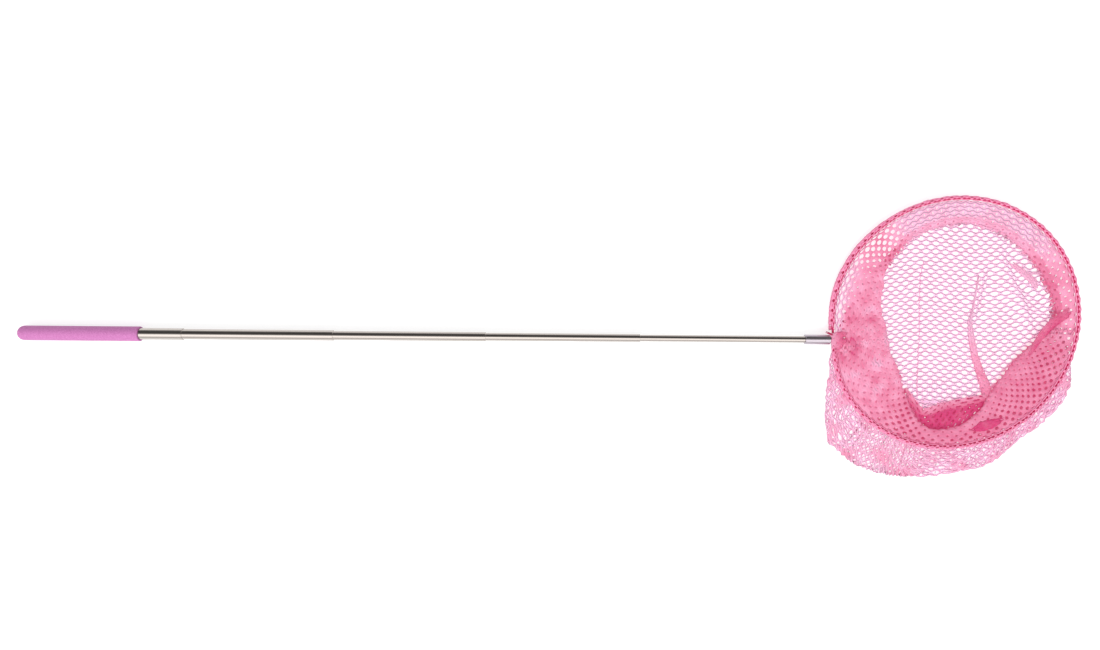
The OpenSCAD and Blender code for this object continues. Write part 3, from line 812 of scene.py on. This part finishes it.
def nylon(name, light, deep, core, through_share):
    """Pink nylon. The depth attribute turns light into deep, and tight yarn has a darker core."""
    material, add, shader, where = surface(name, light)
    depth = add("ShaderNodeAttribute", attribute_name="depth").outputs["Fac"]
    cloud = add("ShaderNodeTexNoise", {"Vector": where, "Scale": 0.12 / MM, "Detail": 3.0})
    values = {"Value": cloud, "From Min": 0.3, "From Max": 0.7, "To Min": -PATCHY_TINT, "To Max": PATCHY_TINT}
    cloud = add("ShaderNodeMapRange", values)
    share = add("ShaderNodeMath", {0: depth, 1: cloud}, operation="ADD", use_clamp=True)
    tint = add("ShaderNodeMix", {0: share, 6: linear(light), 7: linear(deep)}, data_type="RGBA")
    line = add("ShaderNodeAttribute", attribute_name="line").outputs["Fac"]
    edge = add("ShaderNodeAttribute", attribute_name="edge").outputs["Fac"]
    inside = add("ShaderNodeMapRange", {"Value": edge, "To Min": 1.0, "To Max": 0.0})
    tight = add("ShaderNodeMath", {0: line, 1: inside}, operation="MULTIPLY")
    thin = add("ShaderNodeMapRange", {"Value": tight, "From Min": 0.2, "From Max": 0.65})
    single = add("ShaderNodeMapRange", {"Value": depth, "From Max": 0.4, "To Min": 1.0, "To Max": 0.12})
    shown = add("ShaderNodeMath", {0: thin, 1: single}, operation="MULTIPLY")
    shown = add("ShaderNodeMath", {0: shown, 1: CORE_SHARE}, operation="MULTIPLY")
    tint = add("ShaderNodeMix", {0: shown, 6: tint.outputs[2], 7: linear(core)}, data_type="RGBA").outputs[2]
    loops = add("ShaderNodeTexNoise", {"Vector": where, "Scale": 2 / MM, "Detail": 3.0})
    glow = {"Base_Color": tint, "Emission_Color": tint, "Emission_Strength": SCATTER}
    bump = skin(add, shader, loops, 0.55, 0.85, loops, 0.15, **glow)
    through = add("ShaderNodeBsdfTranslucent", {"Color": tint, "Normal": bump})
    both = add("ShaderNodeMixShader", {0: through_share, 1: shader, 2: through})
    feed(material.node_tree.nodes["Material Output"].inputs["Surface"], both)
    print(material.name)
    return material


net_nylon = nylon("knitted nylon net, pink", "#F5D2E6", "#D64C86", "#A08098", 0.5)
drawn_nylon = nylon("knitted nylon net, drawn tight", "#DCA0C2", "#DC4A7E", "#9C7890", 0.5)
hem_nylon = nylon("knitted nylon net, doubled over the wire", "#E89CBC", "#C85080", "#C05E88", 0.3)

# %% [markdown]
# ## The folded wall of the bag
#
# From the hem the cloth runs inwards to a fold, back out below itself to a second fold,
# and in again along the table. The tables say how far in and out the two folds lie, as
# shares of the hoop's radius, every 15 degrees from +X. At the top and right the cloth
# is almost flat, and only a small tuck is left of the folds.

# %% Smooth steps
def lerp(a, b, t):
    return a + (b - a) * t


def blend(p, q, t):
    """The point at a share of the way from p to q."""
    return tuple(lerp(a, b, t) for a, b in zip(p, q))


def clamp(v):
    return max(0.0, min(1.0, v))


def smooth(low, high, v):
    """0 below low, 1 above high, and a smooth step between."""
    t = clamp((v - low) / (high - low))
    return t * t * (3 - 2 * t)


def between(start, full, last, end, v):
    """1 from full to last, 0 before start and after end, and smooth steps between."""
    return smooth(start, full, v) * (1 - smooth(last, end, v))


print("half way of a smooth step:", smooth(0, 1, 0.5))

# %% The section of the wall
INNER_FOLD = [
    0.16, 0.17, 0.20, 0.21, 0.20, 0.19, 0.20, 0.21, 0.22, 0.26, 0.32, 0.37,
    0.42, 0.45, 0.46, 0.43, 0.31, 0.15, 0.15, 0.22, 0.33, 0.37, 0.37, 0.32,
]
OUTER_FOLD = [
    -0.11, -0.12, -0.15, -0.16, -0.15, -0.14, -0.145, -0.15, -0.18, -0.22, -0.2, -0.17,
    -0.10, 0.0, 0.125, 0.34, 0.35, 0.28, 0.23, 0.21, 0.14, 0.14, 0.14, 0.02,
]
FULLNESS = [0.25] + 6 * [0.2] + [0.25, 0.35, 0.6] + 14 * [1]
HEM_START, FLOOR_Z = -2.2, 0.4
# heights of the front at its fold, of the layer below it there, and of that layer at the outer fold
FLAT_HEIGHTS, FULL_HEIGHTS = (2.4, 1.6, 1.3), (5.5, 2.7, 2.3)
FOLD_STEPS = 8


def tail(angle):
    """How far the cloth goes in along the table after the last fold. It is longest outside the hoop."""
    return 8 + 34 * between(190, 215, 330, 350, angle)


def wall_section(angle):
    """Points (out, z) of the wall at an angle, from the hem to the end of the cloth on the table."""
    full = clamp(around(FULLNESS, angle))
    front, inner_z, outer_z = (lerp(a, b, full) for a, b in zip(FLAT_HEIGHTS, FULL_HEIGHTS))
    inner, outer = -HOOP_MEAN * around(INNER_FOLD, angle), HOOP_MEAN * around(OUTER_FOLD, angle)
    r1, r2 = (front - inner_z) / 2, (outer_z - FLOOR_Z) / 2
    section = [(HEM_START, POLE_HEIGHT), (lerp(HEM_START, inner, 0.5), (POLE_HEIGHT + front) / 2)]
    for out, z, r, way in ((inner + r1, inner_z + r1, r1, -1), (outer - r2, FLOOR_Z + r2, r2, 1)):
        for k in range(FOLD_STEPS + 1):
            b = math.pi * k / FOLD_STEPS
            section.append((out + way * r * math.sin(b), z + r * math.cos(b)))
    return section + [(outer - r2 - tail(angle), FLOOR_Z)]


# %% A place on the wall
SECTIONS_A_DEGREE = 20
sections = {}


def on_wall(angle, run):
    """(out, z) at a length along the wall's section, counted from the hem."""
    key = round(angle * SECTIONS_A_DEGREE)
    if key not in sections:
        points = wall_section(angle)
        sections[key] = points, [math.dist(p, q) for p, q in zip(points, points[1:])]
    points, steps = sections[key]
    for (p, q), step in zip(zip(points, points[1:]), steps):
        if run <= step:
            break
        run -= step
    return blend(p, q, run / step)


def wall_length(angle):
    on_wall(angle, 0)
    return sum(sections[round(angle * SECTIONS_A_DEGREE)][1])


print("wall length at 0, 90, 180 and 270 degrees:", [round(wall_length(a)) for a in (0, 90, 180, 270)])

# %% [markdown]
# Soft cloth is never quite even. Every point is moved by up to a millimetre with a
# slow noise, and some parts by more, where the cloth is gathered. No yarn sinks into
# the table.

# %% Places of the wall's cells
CELL_ANGLE = 360 / HOOP_CELLS
UNEVEN_SIZE, UNEVEN_LAYER, UNEVEN_RISE = 14.0, 3, 0.1
LOWEST = 0.42
# without a seed, noise_vector is different in every run
noise.seed_set(1)


def uneven(p, amount):
    """Moves a point a little, the same way as its neighbours."""
    move = noise.noise_vector(Vector((p[0] / UNEVEN_SIZE, p[1] / UNEVEN_SIZE, p[2] / UNEVEN_LAYER)))
    return p[0] + amount * move[0], p[1] + amount * move[1], max(LOWEST, p[2] + UNEVEN_RISE * amount * move[2])


def angle_of(p):
    return math.degrees(math.atan2(p[1] - HOOP_Y, p[0] - HOOP_X)) % 360


def out_of(p):
    """How far outside the wire a point lies, seen from above."""
    return math.hypot(p[0] - HOOP_X, p[1] - HOOP_Y) - hoop_radius(angle_of(p))


def gathered(p):
    """How much the cloth is bunched up: all round the left side."""
    return between(125, 160, 222, 245, angle_of(p))


def wall_place(start, way, lap=0.0):
    """Places a point of a wall. A lap in mm raises its first cells, which lie on the other panel's."""
    def place(x, y):
        angle = start + way * x / CELL_WIDTH * CELL_ANGLE
        out, z = on_wall(angle % 360, max(0, y))
        p = by_hoop(angle, out, z + lap * (1 - smooth(0, 2 * CELL_WIDTH, x)))
        return uneven(p, smooth(0, 12, y) * (1.0 + 1.6 * gathered(p)))

    return place


def wall_cells(start, way, first, columns):
    """The cells of a wall that runs round the hoop from the start angle. The first is a count of half columns."""
    for i in range(first, first + columns * 2):
        angle = (start + way * i / 2 * CELL_ANGLE) % 360
        for j in range(i % 2, int(wall_length(angle) / ROW_STEP) + 1, 2):
            yield i / 2 * CELL_WIDTH, j * ROW_STEP


print("one cell takes", round(CELL_ANGLE, 2), "degrees of the hoop")

# %% [markdown]
# How deep the colour is, and how close the yarn lies, changes from place to place. The
# front of the wall is light and what lies below it is deeper. Cloth that is gathered or
# pressed flat is closer, and it is drawn together in streaks beside the ferrule and in
# patches outside the hoop.

# %% Where the cloth is drawn together
# the ferrule's mouth from the hoop's middle, and how far its streaks reach
TIE_U, TIE_V, TIE_REACH = -101, -15, 40


def bunched(p):
    """How much the cloth is pressed together at the top and on the right, where it slopes down."""
    return 1 - between(112, 135, 345, 358, angle_of(p))


def near_right(p):
    angle = (angle_of(p) + 180) % 360 - 180
    return 1 - smooth(22, 48, abs(angle - 2))


def near_hem(p):
    """How near a point of the gathered side is to the hem, where the net is open."""
    return gathered(p) * smooth(-16, -4, out_of(p)) * (1 - smooth(185, 200, angle_of(p)))


def near_tie(p):
    """How near a point is to the ferrule, from which streaks run away."""
    du, dv = p[0] - HOOP_X - TIE_U, p[1] - HOOP_Y - TIE_V
    streaks = 0.7 + 1.2 * noise.noise(Vector((6 * math.atan2(dv, du), 0.03 * du, 3)))
    return clamp((1 - smooth(4, TIE_REACH, math.hypot(du, dv))) * streaks)


def patches(p, size, layer):
    """A noise with patches of the size in mm."""
    return noise.noise(Vector((p[0] / size, p[1] / size, layer)))


def drawn_together(p):
    """Outside the hoop the cloth lies in dense patches, with open ones between them."""
    return patches(p, 15, 1)


def past_fold(p):
    """How far a point lies outside the inner fold."""
    return out_of(p) + HOOP_MEAN * around(INNER_FOLD, angle_of(p))


# %% How deep and how close the wall lies
FRONT_Z = 3.9
AT_WIRE = -1


def layer_depth(p, usual, left, flat, right):
    """The depth of a layer: usual, on the gathered side, where it is flat, and what the right adds to that."""
    return lerp(lerp(usual, left, gathered(p)), flat + right * near_right(p), bunched(p))


def wall_depth(p):
    if out_of(p) > AT_WIRE:
        return max(0.08, 0.14 + 0.35 * drawn_together(p))
    blotch = gathered(p) * 0.35 * patches(p, 9, 0) + 0.5 * near_tie(p)
    if p[2] > FRONT_Z:
        hem = near_hem(p)
        return blotch * (1 - hem) + layer_depth(p, 0.6, lerp(0.45, 0.12, hem), 0.12, 0.35)
    return blotch + layer_depth(p, 0.8, 0.35, 0.3, 0.4)


def wall_close(p):
    if out_of(p) > AT_WIRE:
        return max(0.95, 1.28 + 1.3 * drawn_together(p))
    angle = angle_of(p)
    front = between(240, 262, 345, 352, angle)
    near_fold = front * (1 - smooth(3, 13, past_fold(p)))
    return (
        1.3 + 0.85 * gathered(p) + 0.5 * bunched(p) - 0.45 * between(112, 125, 140, 158, angle) - near_hem(p)
        + 0.1 * front + near_fold + 0.7 * gathered(p) * patches(p, 6, p[2]) + (0.15 if p[2] < FRONT_Z else 0)
    )


print("the wall on the table at 270 degrees is", round(wall_close(by_hoop(270, -20, FLOOR_Z)), 2), "times as close")

# %% [markdown]
# ## The cloth on the table
#
# The floor of the bag lies flat. Its rows bend at two lines that run along the bag, the
# wale line and the long pleat: they rise to the first, fall to the second and rise
# again. A few creases pull the cells together.

# %% Creases and bends of the floor
WALE_X, PLEAT_X = -26.0, 24.0
ROW_SLOPES = (0.12, -0.07, 0.05)
BEND_WIDTH = 2.5
CREASES = [
    # from, to, pull in mm, width in mm, height in mm
    ((42, 60), (68, -4), 2.6, 4, 0.8),
    ((30, 46), (20, 0), 2, 3, 0.5),
    ((62, 42), (88, 38), 1.8, 3, 0.6),
    ((52, 30), (80, 2), 1.6, 4, 0.5),
    ((-58, 62), (-20, 84), 1.5, 4, 0.4),
]


def bend(v, where):
    """A ramp that starts softly at a line."""
    t = (v - where) / BEND_WIDTH
    return BEND_WIDTH * (t if t > 20 else math.log1p(math.exp(t)))


def crease(u, v):
    """(u, v, height) of a floor point after all the creases."""
    z = 0
    for (x0, y0), (x1, y1), pull, width, height in CREASES:
        length = math.hypot(x1 - x0, y1 - y0)
        dx, dy = (x1 - x0) / length, (y1 - y0) / length
        t = ((u - x0) * dx + (v - y0) * dy) / length
        d = (u - x0) * dy - (v - y0) * dx
        near = between(-0.15, 0.2, 0.8, 1.15, t) * math.exp(-((d / (3 * width)) ** 2))
        shift = pull * math.tanh(d / width) * near
        u, v = u - dy * shift, v + dx * shift
        z += height * near * math.exp(-((d / width) ** 2))
    return u, v, z


print(len(CREASES), "creases")

# %% [markdown]
# The toe of the bag is seen through its mouth as a deep pocket, where many layers lie on
# each other. It is darkest there. The two panels end at the seam along the toe, which
# bows away from the hoop's middle.

# %% The pocket and the seam's line
POCKET = [
    (-36.6, -54), (-22.6, -72), (-7.9, -67.1), (2, -64.2), (26.6, -59.7), (33.2, -67.1), (27.4, -68.8),
    (14.7, -75.3), (4.5, -81.9), (-6.4, -88.5), (-15.5, -90.1), (-24.7, -83.5), (-34.1, -73.7), (-43.2, -63.8),
]
POCKET_DEPTH, UNDER_DEPTH, POCKET_CLOSE = 0.9, 0.75, 1.25
SEAM_HALF, SEAM_NEAR, SEAM_BOW, SEAM_SLANT = 83.0, 36.0, 29.0, 12
FLOOR_REACH, FLOOR_UNEVEN = 150, 0.8


def in_pocket(p):
    """Is a point inside the pocket's outline?"""
    u, v = p[0] - HOOP_X, p[1] - HOOP_Y
    inside = False
    for (x0, y0), (x1, y1) in zip(POCKET, POCKET[1:] + POCKET[:1]):
        if (y0 > v) != (y1 > v) and u < x0 + (v - y0) / (y1 - y0) * (x1 - x0):
            inside = not inside
    return inside


def floor_depth(p):
    """The floor is light where it lies alone, and deeper under the wall."""
    if in_pocket(p):
        return POCKET_DEPTH
    under = around(FULLNESS, angle_of(p)) * smooth(-2, 3, past_fold(p))
    return UNDER_DEPTH * clamp(under) * (1 - smooth(-3, 0, out_of(p)))


def floor_close(p):
    return POCKET_CLOSE if in_pocket(p) else 1.0 + 0.3 * smooth(35, 62, HOOP_Y - p[1])


def seam_y(u):
    """Where the bottom seam runs, as v at u."""
    t = clamp((u / SEAM_HALF + 1) / 2)
    return -SEAM_NEAR + SEAM_SLANT * (t - 0.5) - SEAM_BOW * math.sin(math.acos(max(-1, min(1, -u / SEAM_HALF))))


def floor_cells(place, inside):
    """The cells of a floor whose middles lie inside."""
    return [(x, y) for x, y in lattice(FLOOR_REACH) if inside(place(x, y))]


print("the seam bows to", round(seam_y(0), 1), "mm from the hoop's middle")

# %% [markdown]
# Small laps of cloth lie on the floor and on the wall: the long pleat, tucks, a roll at
# the right. Each is a strip of the same net between two lines, pressed together across.

# %% A fold between two lines
def along(line, t):
    """The point at a share of a line's points."""
    k = min(len(line) - 2, int(t * (len(line) - 1)))
    return blend(line[k], line[k + 1], t * (len(line) - 1) - k)


def fold(cloth, name, left, right, columns, rows, z, rise, depth, close):
    """A narrow lap between two lines, raised along its middle. The depth is a function of the
    place, or goes from the left line to the right one."""
    shares = {}

    def place(x, y):
        t, s = clamp(x / (columns * CELL_WIDTH)), clamp(y / (rows * ROW_STEP))
        u, v = blend(along(left, t), along(right, t), s)
        p = HOOP_X + u, HOOP_Y + v, z + rise * math.sin(math.pi * s)
        shares[p] = s
        return p

    cells = [
        ((i + 0.5 + 0.5 * (j % 2)) * CELL_WIDTH, (j + 0.5) * ROW_STEP)
        for j in range(rows) for i in range(columns - j % 2)
    ]
    deepness = depth if callable(depth) else lambda p: lerp(*depth, shares[p])
    cloth.zone(name, cells, place, deepness, lambda p: close)
    print(name, len(cells), "cells")


# %% [markdown]
# The upper panel starts at the ferrule and runs clockwise over the top to the right. Its
# first cells lie on the lower panel's. Its floor is what shows through the mouth, up to
# the pocket.

# %% The upper panel
UPPER_COLUMNS, LAP = 42, 0.4
UPPER_FOLDS = [
    # name, left line, right line, columns, rows, height, rise, depth, closeness
    (
        "pleat",
        [(21.8, 39.3), (19.7, 25.2), (17, 11), (14, 1.6), (14.2, -10.7),
         (16.6, -26.7), (20.1, -39), (23.6, -51.2), (27.4, -64.4), (29.3, -73.9)],
        [(22.9, 39.3), (21, 25.2), (18.6, 11), (17, 1.6), (19.7, -10.7),
         (22.9, -26.7), (27.6, -39), (33.3, -51.2), (36.9, -64.4), (31.2, -73.9)],
        27, 3, 1.4, 1.2, lambda p: 0.12 + 0.5 * smooth(-10, 60, HOOP_Y - p[1]), 1.4,
    ),
    (
        "tuck",
        [(46, 49.5), (56.3, 40.4), (64, 33.5), (70, 27)],
        [(52, 50), (61.6, 43.6), (71.1, 35.7), (72, 28)],
        8, 3, 0.9, 0.8, (0.25, 0.25), 1.3,
    ),
    (
        "tuck edge",
        [(62, 42), (74, 42.5), (86, 39.5)],
        [(62.5, 39.5), (74, 40), (86, 37.5)],
        6, 2, 0.9, 0.6, (0.15, 0.15), 1.3,
    ),
    (
        "right roll",
        [(60, -27), (68, -9.8), (78.2, 2.9), (93.8, 13)],
        [(62, -28), (73, -13.3), (83.3, -2.4), (96, 6)],
        11, 4, 5.6, 1, (0.7, 0.95), 1.5,
    ),
    (
        "ruffle",
        [(-102, -11), (-99, -9), (-94, -8), (-88, -8.5)],
        [(-102.5, -17.5), (-99, -22), (-94, -23), (-88, -20)],
        3, 4, 8.3, 0.6, lambda p: 0.45 + 0.35 * smooth(-100, -92, p[0] - HOOP_X), 2,
    ),
]


def upper_floor(x, y):
    """Places a point of the upper floor, which rises over the pocket."""
    left, middle, right = ROW_SLOPES
    y += left * x + (middle - left) * bend(x, WALE_X) + (right - middle) * bend(x, PLEAT_X)
    u, v, z = crease(x, y)
    return uneven((HOOP_X + u, HOOP_Y + v, z + lerp(0.5, 1.3, smooth(-60, -72, v))), FLOOR_UNEVEN)


def on_upper(p):
    fold_out = HOOP_MEAN * around(OUTER_FOLD, angle_of(p))
    return out_of(p) < min(-4, fold_out - 3) and p[1] - HOOP_Y > -88


upper = Cloth()
cells = wall_cells(POLE_ANGLE, -1, -2, UPPER_COLUMNS + 1)
upper.zone("wall", cells, wall_place(POLE_ANGLE, -1, LAP), wall_depth, wall_close)
upper.zone("floor", floor_cells(upper_floor, on_upper), upper_floor, floor_depth, floor_close)
for strip in UPPER_FOLDS:
    fold(upper, *strip)
upper_net = knit("upper_net", upper, net_nylon)

# %% [markdown]
# The lower panel runs from the ferrule along the bottom to the right. It lies turned a
# little, and it ends inside the hoop at the toe, in the pocket.

# %% The lower panel
LOWER_COLUMNS, LOWER_TURN, LOWER_Z = 36, math.radians(-12), 0.45
LOWER_FOLDS = [
    (
        "toe",
        [(-36.6, -54), (-29.6, -63), (-22.6, -72), (-7.9, -67.1),
         (2, -64.2), (14.3, -62), (26.6, -59.7), (35, -61)],
        [(-46, -70), (-37, -80), (-27, -92), (-15.5, -98),
         (-4, -97), (8, -90), (20, -83), (38, -72)],
        14, 8, 2, 0.3, lambda p: 0.6 + 0.4 * smooth(-42, -16, p[0] - HOOP_X), 1.5,
    ),
    (
        "toe edge",
        [(-36.6, -53), (-22.6, -71), (-7.9, -66.1), (2, -63.2), (26.6, -58.7), (35, -60)],
        [(-40, -60), (-25.6, -79), (-7.9, -74), (3, -71), (27.6, -66), (38, -66)],
        12, 3, 2.5, 0.3, (0.4, 0.95), 1.5,
    ),
    (
        "band",
        [(13.9, -87.9), (22.1, -80.5), (31.2, -78.5), (40.9, -77.2)],
        [(15.2, -88.8), (25.2, -88.9), (33.2, -86.2), (41.2, -80)],
        5, 4, 6.1, 0.3, (1, 1), 2.1,
    ),
]


def lower_floor(x, y):
    c, s = math.cos(LOWER_TURN), math.sin(LOWER_TURN)
    return uneven((HOOP_X + c * x - s * y, HOOP_Y + s * x + c * y, LOWER_Z), FLOOR_UNEVEN)


def on_lower(p):
    angle = angle_of(p)
    beside_seam = p[1] - HOOP_Y < seam_y(p[0] - HOOP_X) and angle > 180
    return out_of(p) < HOOP_MEAN * around(OUTER_FOLD, angle) - tail(angle) and beside_seam


lower = Cloth()
lower.zone("wall", wall_cells(POLE_ANGLE, 1, 1, LOWER_COLUMNS), wall_place(POLE_ANGLE, 1), wall_depth, wall_close)
lower.zone("floor", floor_cells(lower_floor, on_lower), lower_floor, floor_depth, floor_close)
for strip in LOWER_FOLDS:
    fold(lower, *strip)
lower_net = knit("lower_net", lower, net_nylon)

# %% [markdown]
# The hem is the same net, doubled round the wire, so the wire shows through its holes as
# a row of dark dashes.

# %% The hem
HEM_MIDDLE, HEM_THICKNESS, HEM_ROWS = 1.65, 0.4, 4
HEM_TURN = math.radians(35)
HEM_DEPTH = 0.15
hem = Cloth()


def hem_place(x, y):
    """Tight round the wire inside, and a little loose outside, most at the upper left."""
    turn = HEM_TURN + math.tau * y / (HEM_ROWS * ROW_STEP)
    angle = (POLE_ANGLE + x / CELL_WIDTH * CELL_ANGLE) % 360
    slack = 0.4 + 1.2 * between(110, 150, 184, 188, angle) + 0.5 * noise.noise(Vector((angle / 5, 0, 5)))
    out = HEM_MIDDLE * math.cos(turn)
    return by_hoop(angle, out + max(0, out / HEM_MIDDLE) * slack, POLE_HEIGHT + HEM_MIDDLE * math.sin(turn))


def hem_close(p):
    """Only one row of holes stays open, above the wire and a little inside it."""
    return 0.6 if p[2] > POLE_HEIGHT + 0.5 and out_of(p) < 0.6 else 2.2


cells = [
    ((i + 0.5 * (j % 2)) * CELL_WIDTH, j * ROW_STEP)
    for j in range(HEM_ROWS) for i in range(1, HOOP_CELLS) if i + 0.5 * (j % 2) < HOOP_CELLS - 1
]
hem.zone("hem", cells, hem_place, lambda p: HEM_DEPTH, hem_close, HEM_ROWS)
hem_net = knit("hem_net", hem, hem_nylon, HEM_THICKNESS)

# %% [markdown]
# ## Thread and wire
#
# Threads are swept along a line of points: at each point a ring of corners stands
# across the line, and the rings are joined.

# %% Sweeping
def swept(name, path, radius, sides, material):
    """A round thread along points in mm, closed at both ends."""
    points, faces = [], []
    for k, p in enumerate(path):
        a, b = Vector(path[max(0, k - 1)]), Vector(path[min(len(path) - 1, k + 1)])
        ahead = (b - a).normalized()
        side = ahead.cross(Vector((0, 0, 1)))
        side = side.normalized() if side.length > 0.1 else Vector((1, 0, 0))
        up = side.cross(ahead)
        for m in range(sides):
            t = math.tau * m / sides
            points.append((Vector(p) + radius * (math.cos(t) * side + math.sin(t) * up)) * MM)
    for k in range(len(path) - 1):
        for m in range(sides):
            n = (m + 1) % sides
            faces.append((k * sides + m, (k + 1) * sides + m, (k + 1) * sides + n, k * sides + n))
    faces.append(tuple(range(sides)))
    faces.append(tuple(reversed(range((len(path) - 1) * sides, len(path) * sides))))
    return mesh_object(name, points, faces, material)


# dark red twisted nylon sewing thread
thread_nylon = nylon("sewing thread, dark red nylon", "#9C2A50", "#7C1838", "#7C1838", 0.1)

# %% [markdown]
# The hem is closed with a running stitch on its inner side, just under the wire. It
# waves a little in and out of the cloth, once in every cell.

# %% The stitching of the hem
STITCH_R, STITCH_WAVE, STITCH_OUT, STITCH_DROP = 0.25, 0.35, -2.55, 0.6
STITCH_POINTS, STITCH_ENDS = 8, 12
path = []
for k in range(HOOP_CELLS * STITCH_POINTS - 2 * STITCH_ENDS):
    x = (k + STITCH_ENDS) / STITCH_POINTS
    wave = STITCH_WAVE * math.sin(math.tau * x)
    path.append(by_hoop(POLE_ANGLE + x * CELL_ANGLE, STITCH_OUT + wave, POLE_HEIGHT - STITCH_DROP + wave))
stitching = swept("hem_stitch", path, STITCH_R, 6, thread_nylon)
finish_piece(stitching, "thread", "head", "hem_stitching")

# %% [markdown]
# The two panels are joined at the toe by a rolled seam, which lies on the table.

# %% The seam at the toe
SEAM_R, SEAM_STEPS, SEAM_ENDS = 0.6, 160, 4
path = []
for k in range(SEAM_ENDS, SEAM_STEPS - SEAM_ENDS + 1):
    u = -SEAM_HALF * math.cos(math.pi * k / SEAM_STEPS)
    path.append((HOOP_X + u, HOOP_Y + seam_y(u), SEAM_R))
toe_seam = swept("toe_seam", path, SEAM_R, 10, net_nylon)
finish_piece(toe_seam, "net_mesh", "head", "bag_seam")

# %% [markdown]
# One line of tighter loops runs along the bag, where the machine began a new wale. A
# fine zigzag thread stands for it.

# %% The wale line
WALE = [(-22.3, 49.6), (-24.7, 38.9), (-25.6, 18.3), (-25.2, -6.3), (-26.4, -31), (-27.2, -51.6), (-26.4, -63.9)]
WALE_R, WALE_STEP, WALE_SIDE, WALE_Z = 0.3, 1.6, 0.6, 0.9
path = []
for p, q in zip(WALE, WALE[1:]):
    for k in range(int((p[1] - q[1]) / WALE_STEP)):
        u, v = blend(p, q, k * WALE_STEP / (p[1] - q[1]))
        side = WALE_SIDE if len(path) % 2 else -WALE_SIDE
        path.append((HOOP_X + u + side, HOOP_Y + v, WALE_Z))
wale_thread = swept("wale_thread", path, WALE_R, 6, drawn_nylon)
finish_piece(wale_thread, "net_mesh", "head")

# %% [markdown]
# A thread binds the gathered hem at the ferrule: a few turns round both wires, and loose
# ends that stick out beside the ferrule as a small tuft.

# %% The tie at the ferrule
TIE_R, TIE_TURNS, TIE_X, TIE_PITCH, TIE_WIDE, TIE_HIGH, TIE_STEPS = 0.3, 4, 228.6, 0.75, 2.9, 1.7, 96
TUFT = [(-97.5, -11.8), (-104.6, -8.4), (-98, -11.2), (-105.2, -9.2), (-98, -12), (-104.2, -9.8), (-98, -12.4)]
TUFT_Z, TUFT_STEPS = 8.4, 4
path = []
for t in [math.tau * TIE_TURNS * k / TIE_STEPS for k in range(TIE_STEPS + 1)]:
    y, z = POLE_Y + TIE_WIDE * math.cos(t), POLE_HEIGHT + TIE_HIGH * math.sin(t)
    path.append((TIE_X + TIE_PITCH * t / math.tau, y, z))
for p, q in zip(TUFT, TUFT[1:]):
    for k in range(1, TUFT_STEPS + 1):
        u, v = blend(p, q, k / TUFT_STEPS)
        path.append((HOOP_X + u, HOOP_Y + v, TUFT_Z + 0.3 * math.sin(k)))
tie = swept("hem_tie", path, TIE_R, 8, thread_nylon)
finish_piece(tie, "thread", "head", "gather_tie")

# %% [markdown]
# The wire is steel with a dark red coat. Its CAD node is smooth enough to keep, since the
# hem covers all of it but its two ends in the ferrule.

# %% The wire
# dark red vinyl coat on spring wire, smooth and glossy
coat, add, shader, where = surface("wire coat, dark red vinyl", "#C41058")
grain = add("ShaderNodeTexNoise", {"Vector": where, "Scale": 1 / MM, "Detail": 2.0})
set_inputs(shader, Roughness=add("ShaderNodeMapRange", {"Value": grain, "To Min": 0.3, "To Max": 0.5}))
refinish("hoop_wire", coat)

# %% [markdown]
# ## Tying the pieces to the frame
#
# Both panels are cut from flat net. Each is about 320 mm along the hoop and 120 mm deep.

# %% The sheets
PANEL_LENGTH = HOOP_CELLS / 2 * CELL_WIDTH * MM


def cut(name):
    """The flat size of a cloth, from the area of its cells as they lie."""
    area = sum(face.area for face in bpy.data.meshes[name + "_cells"].polygons)
    print(name, "flat area, m2:", round(area, 4))
    return {"flat": (PANEL_LENGTH, area / PANEL_LENGTH), "area": area}


for piece, node, name in (
    (upper_net, "net_upper_panel", "net_mesh"), (lower_net, "net_lower_panel", "net_mesh"),
    (hem_net, "hem_sleeve", "hem_net"),
):
    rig.ride(piece, "head")
    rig.slot(piece, name)
    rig.replaces(piece, node)
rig.sheet(
    upper_net, **cut("upper_net"), held="gathered", rests_on=["hoop_wire", "table"],
    with_pieces=[wale_thread, toe_seam],
)
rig.sheet(lower_net, **cut("lower_net"), held="gathered", rests_on=["hoop_wire", "table"])
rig.sheet(hem_net, flat=(0.62, 0.0104), held="stretched", rests_on=["hoop_wire"], with_pieces=[stitching, tie])

# %% [markdown]
# Last, the box of what shows is written beside the CAD box, so that the two can be
# compared, and the frame is closed.

# %% Sizes
full_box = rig.bounds()
with open("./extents.json", "w") as out:
    json.dump({"cad": [list(p) for p in cad_box], "visual": [list(p) for p in full_box]}, out)
print("visual box, m:", [tuple(round(v, 4) for v in p) for p in full_box])
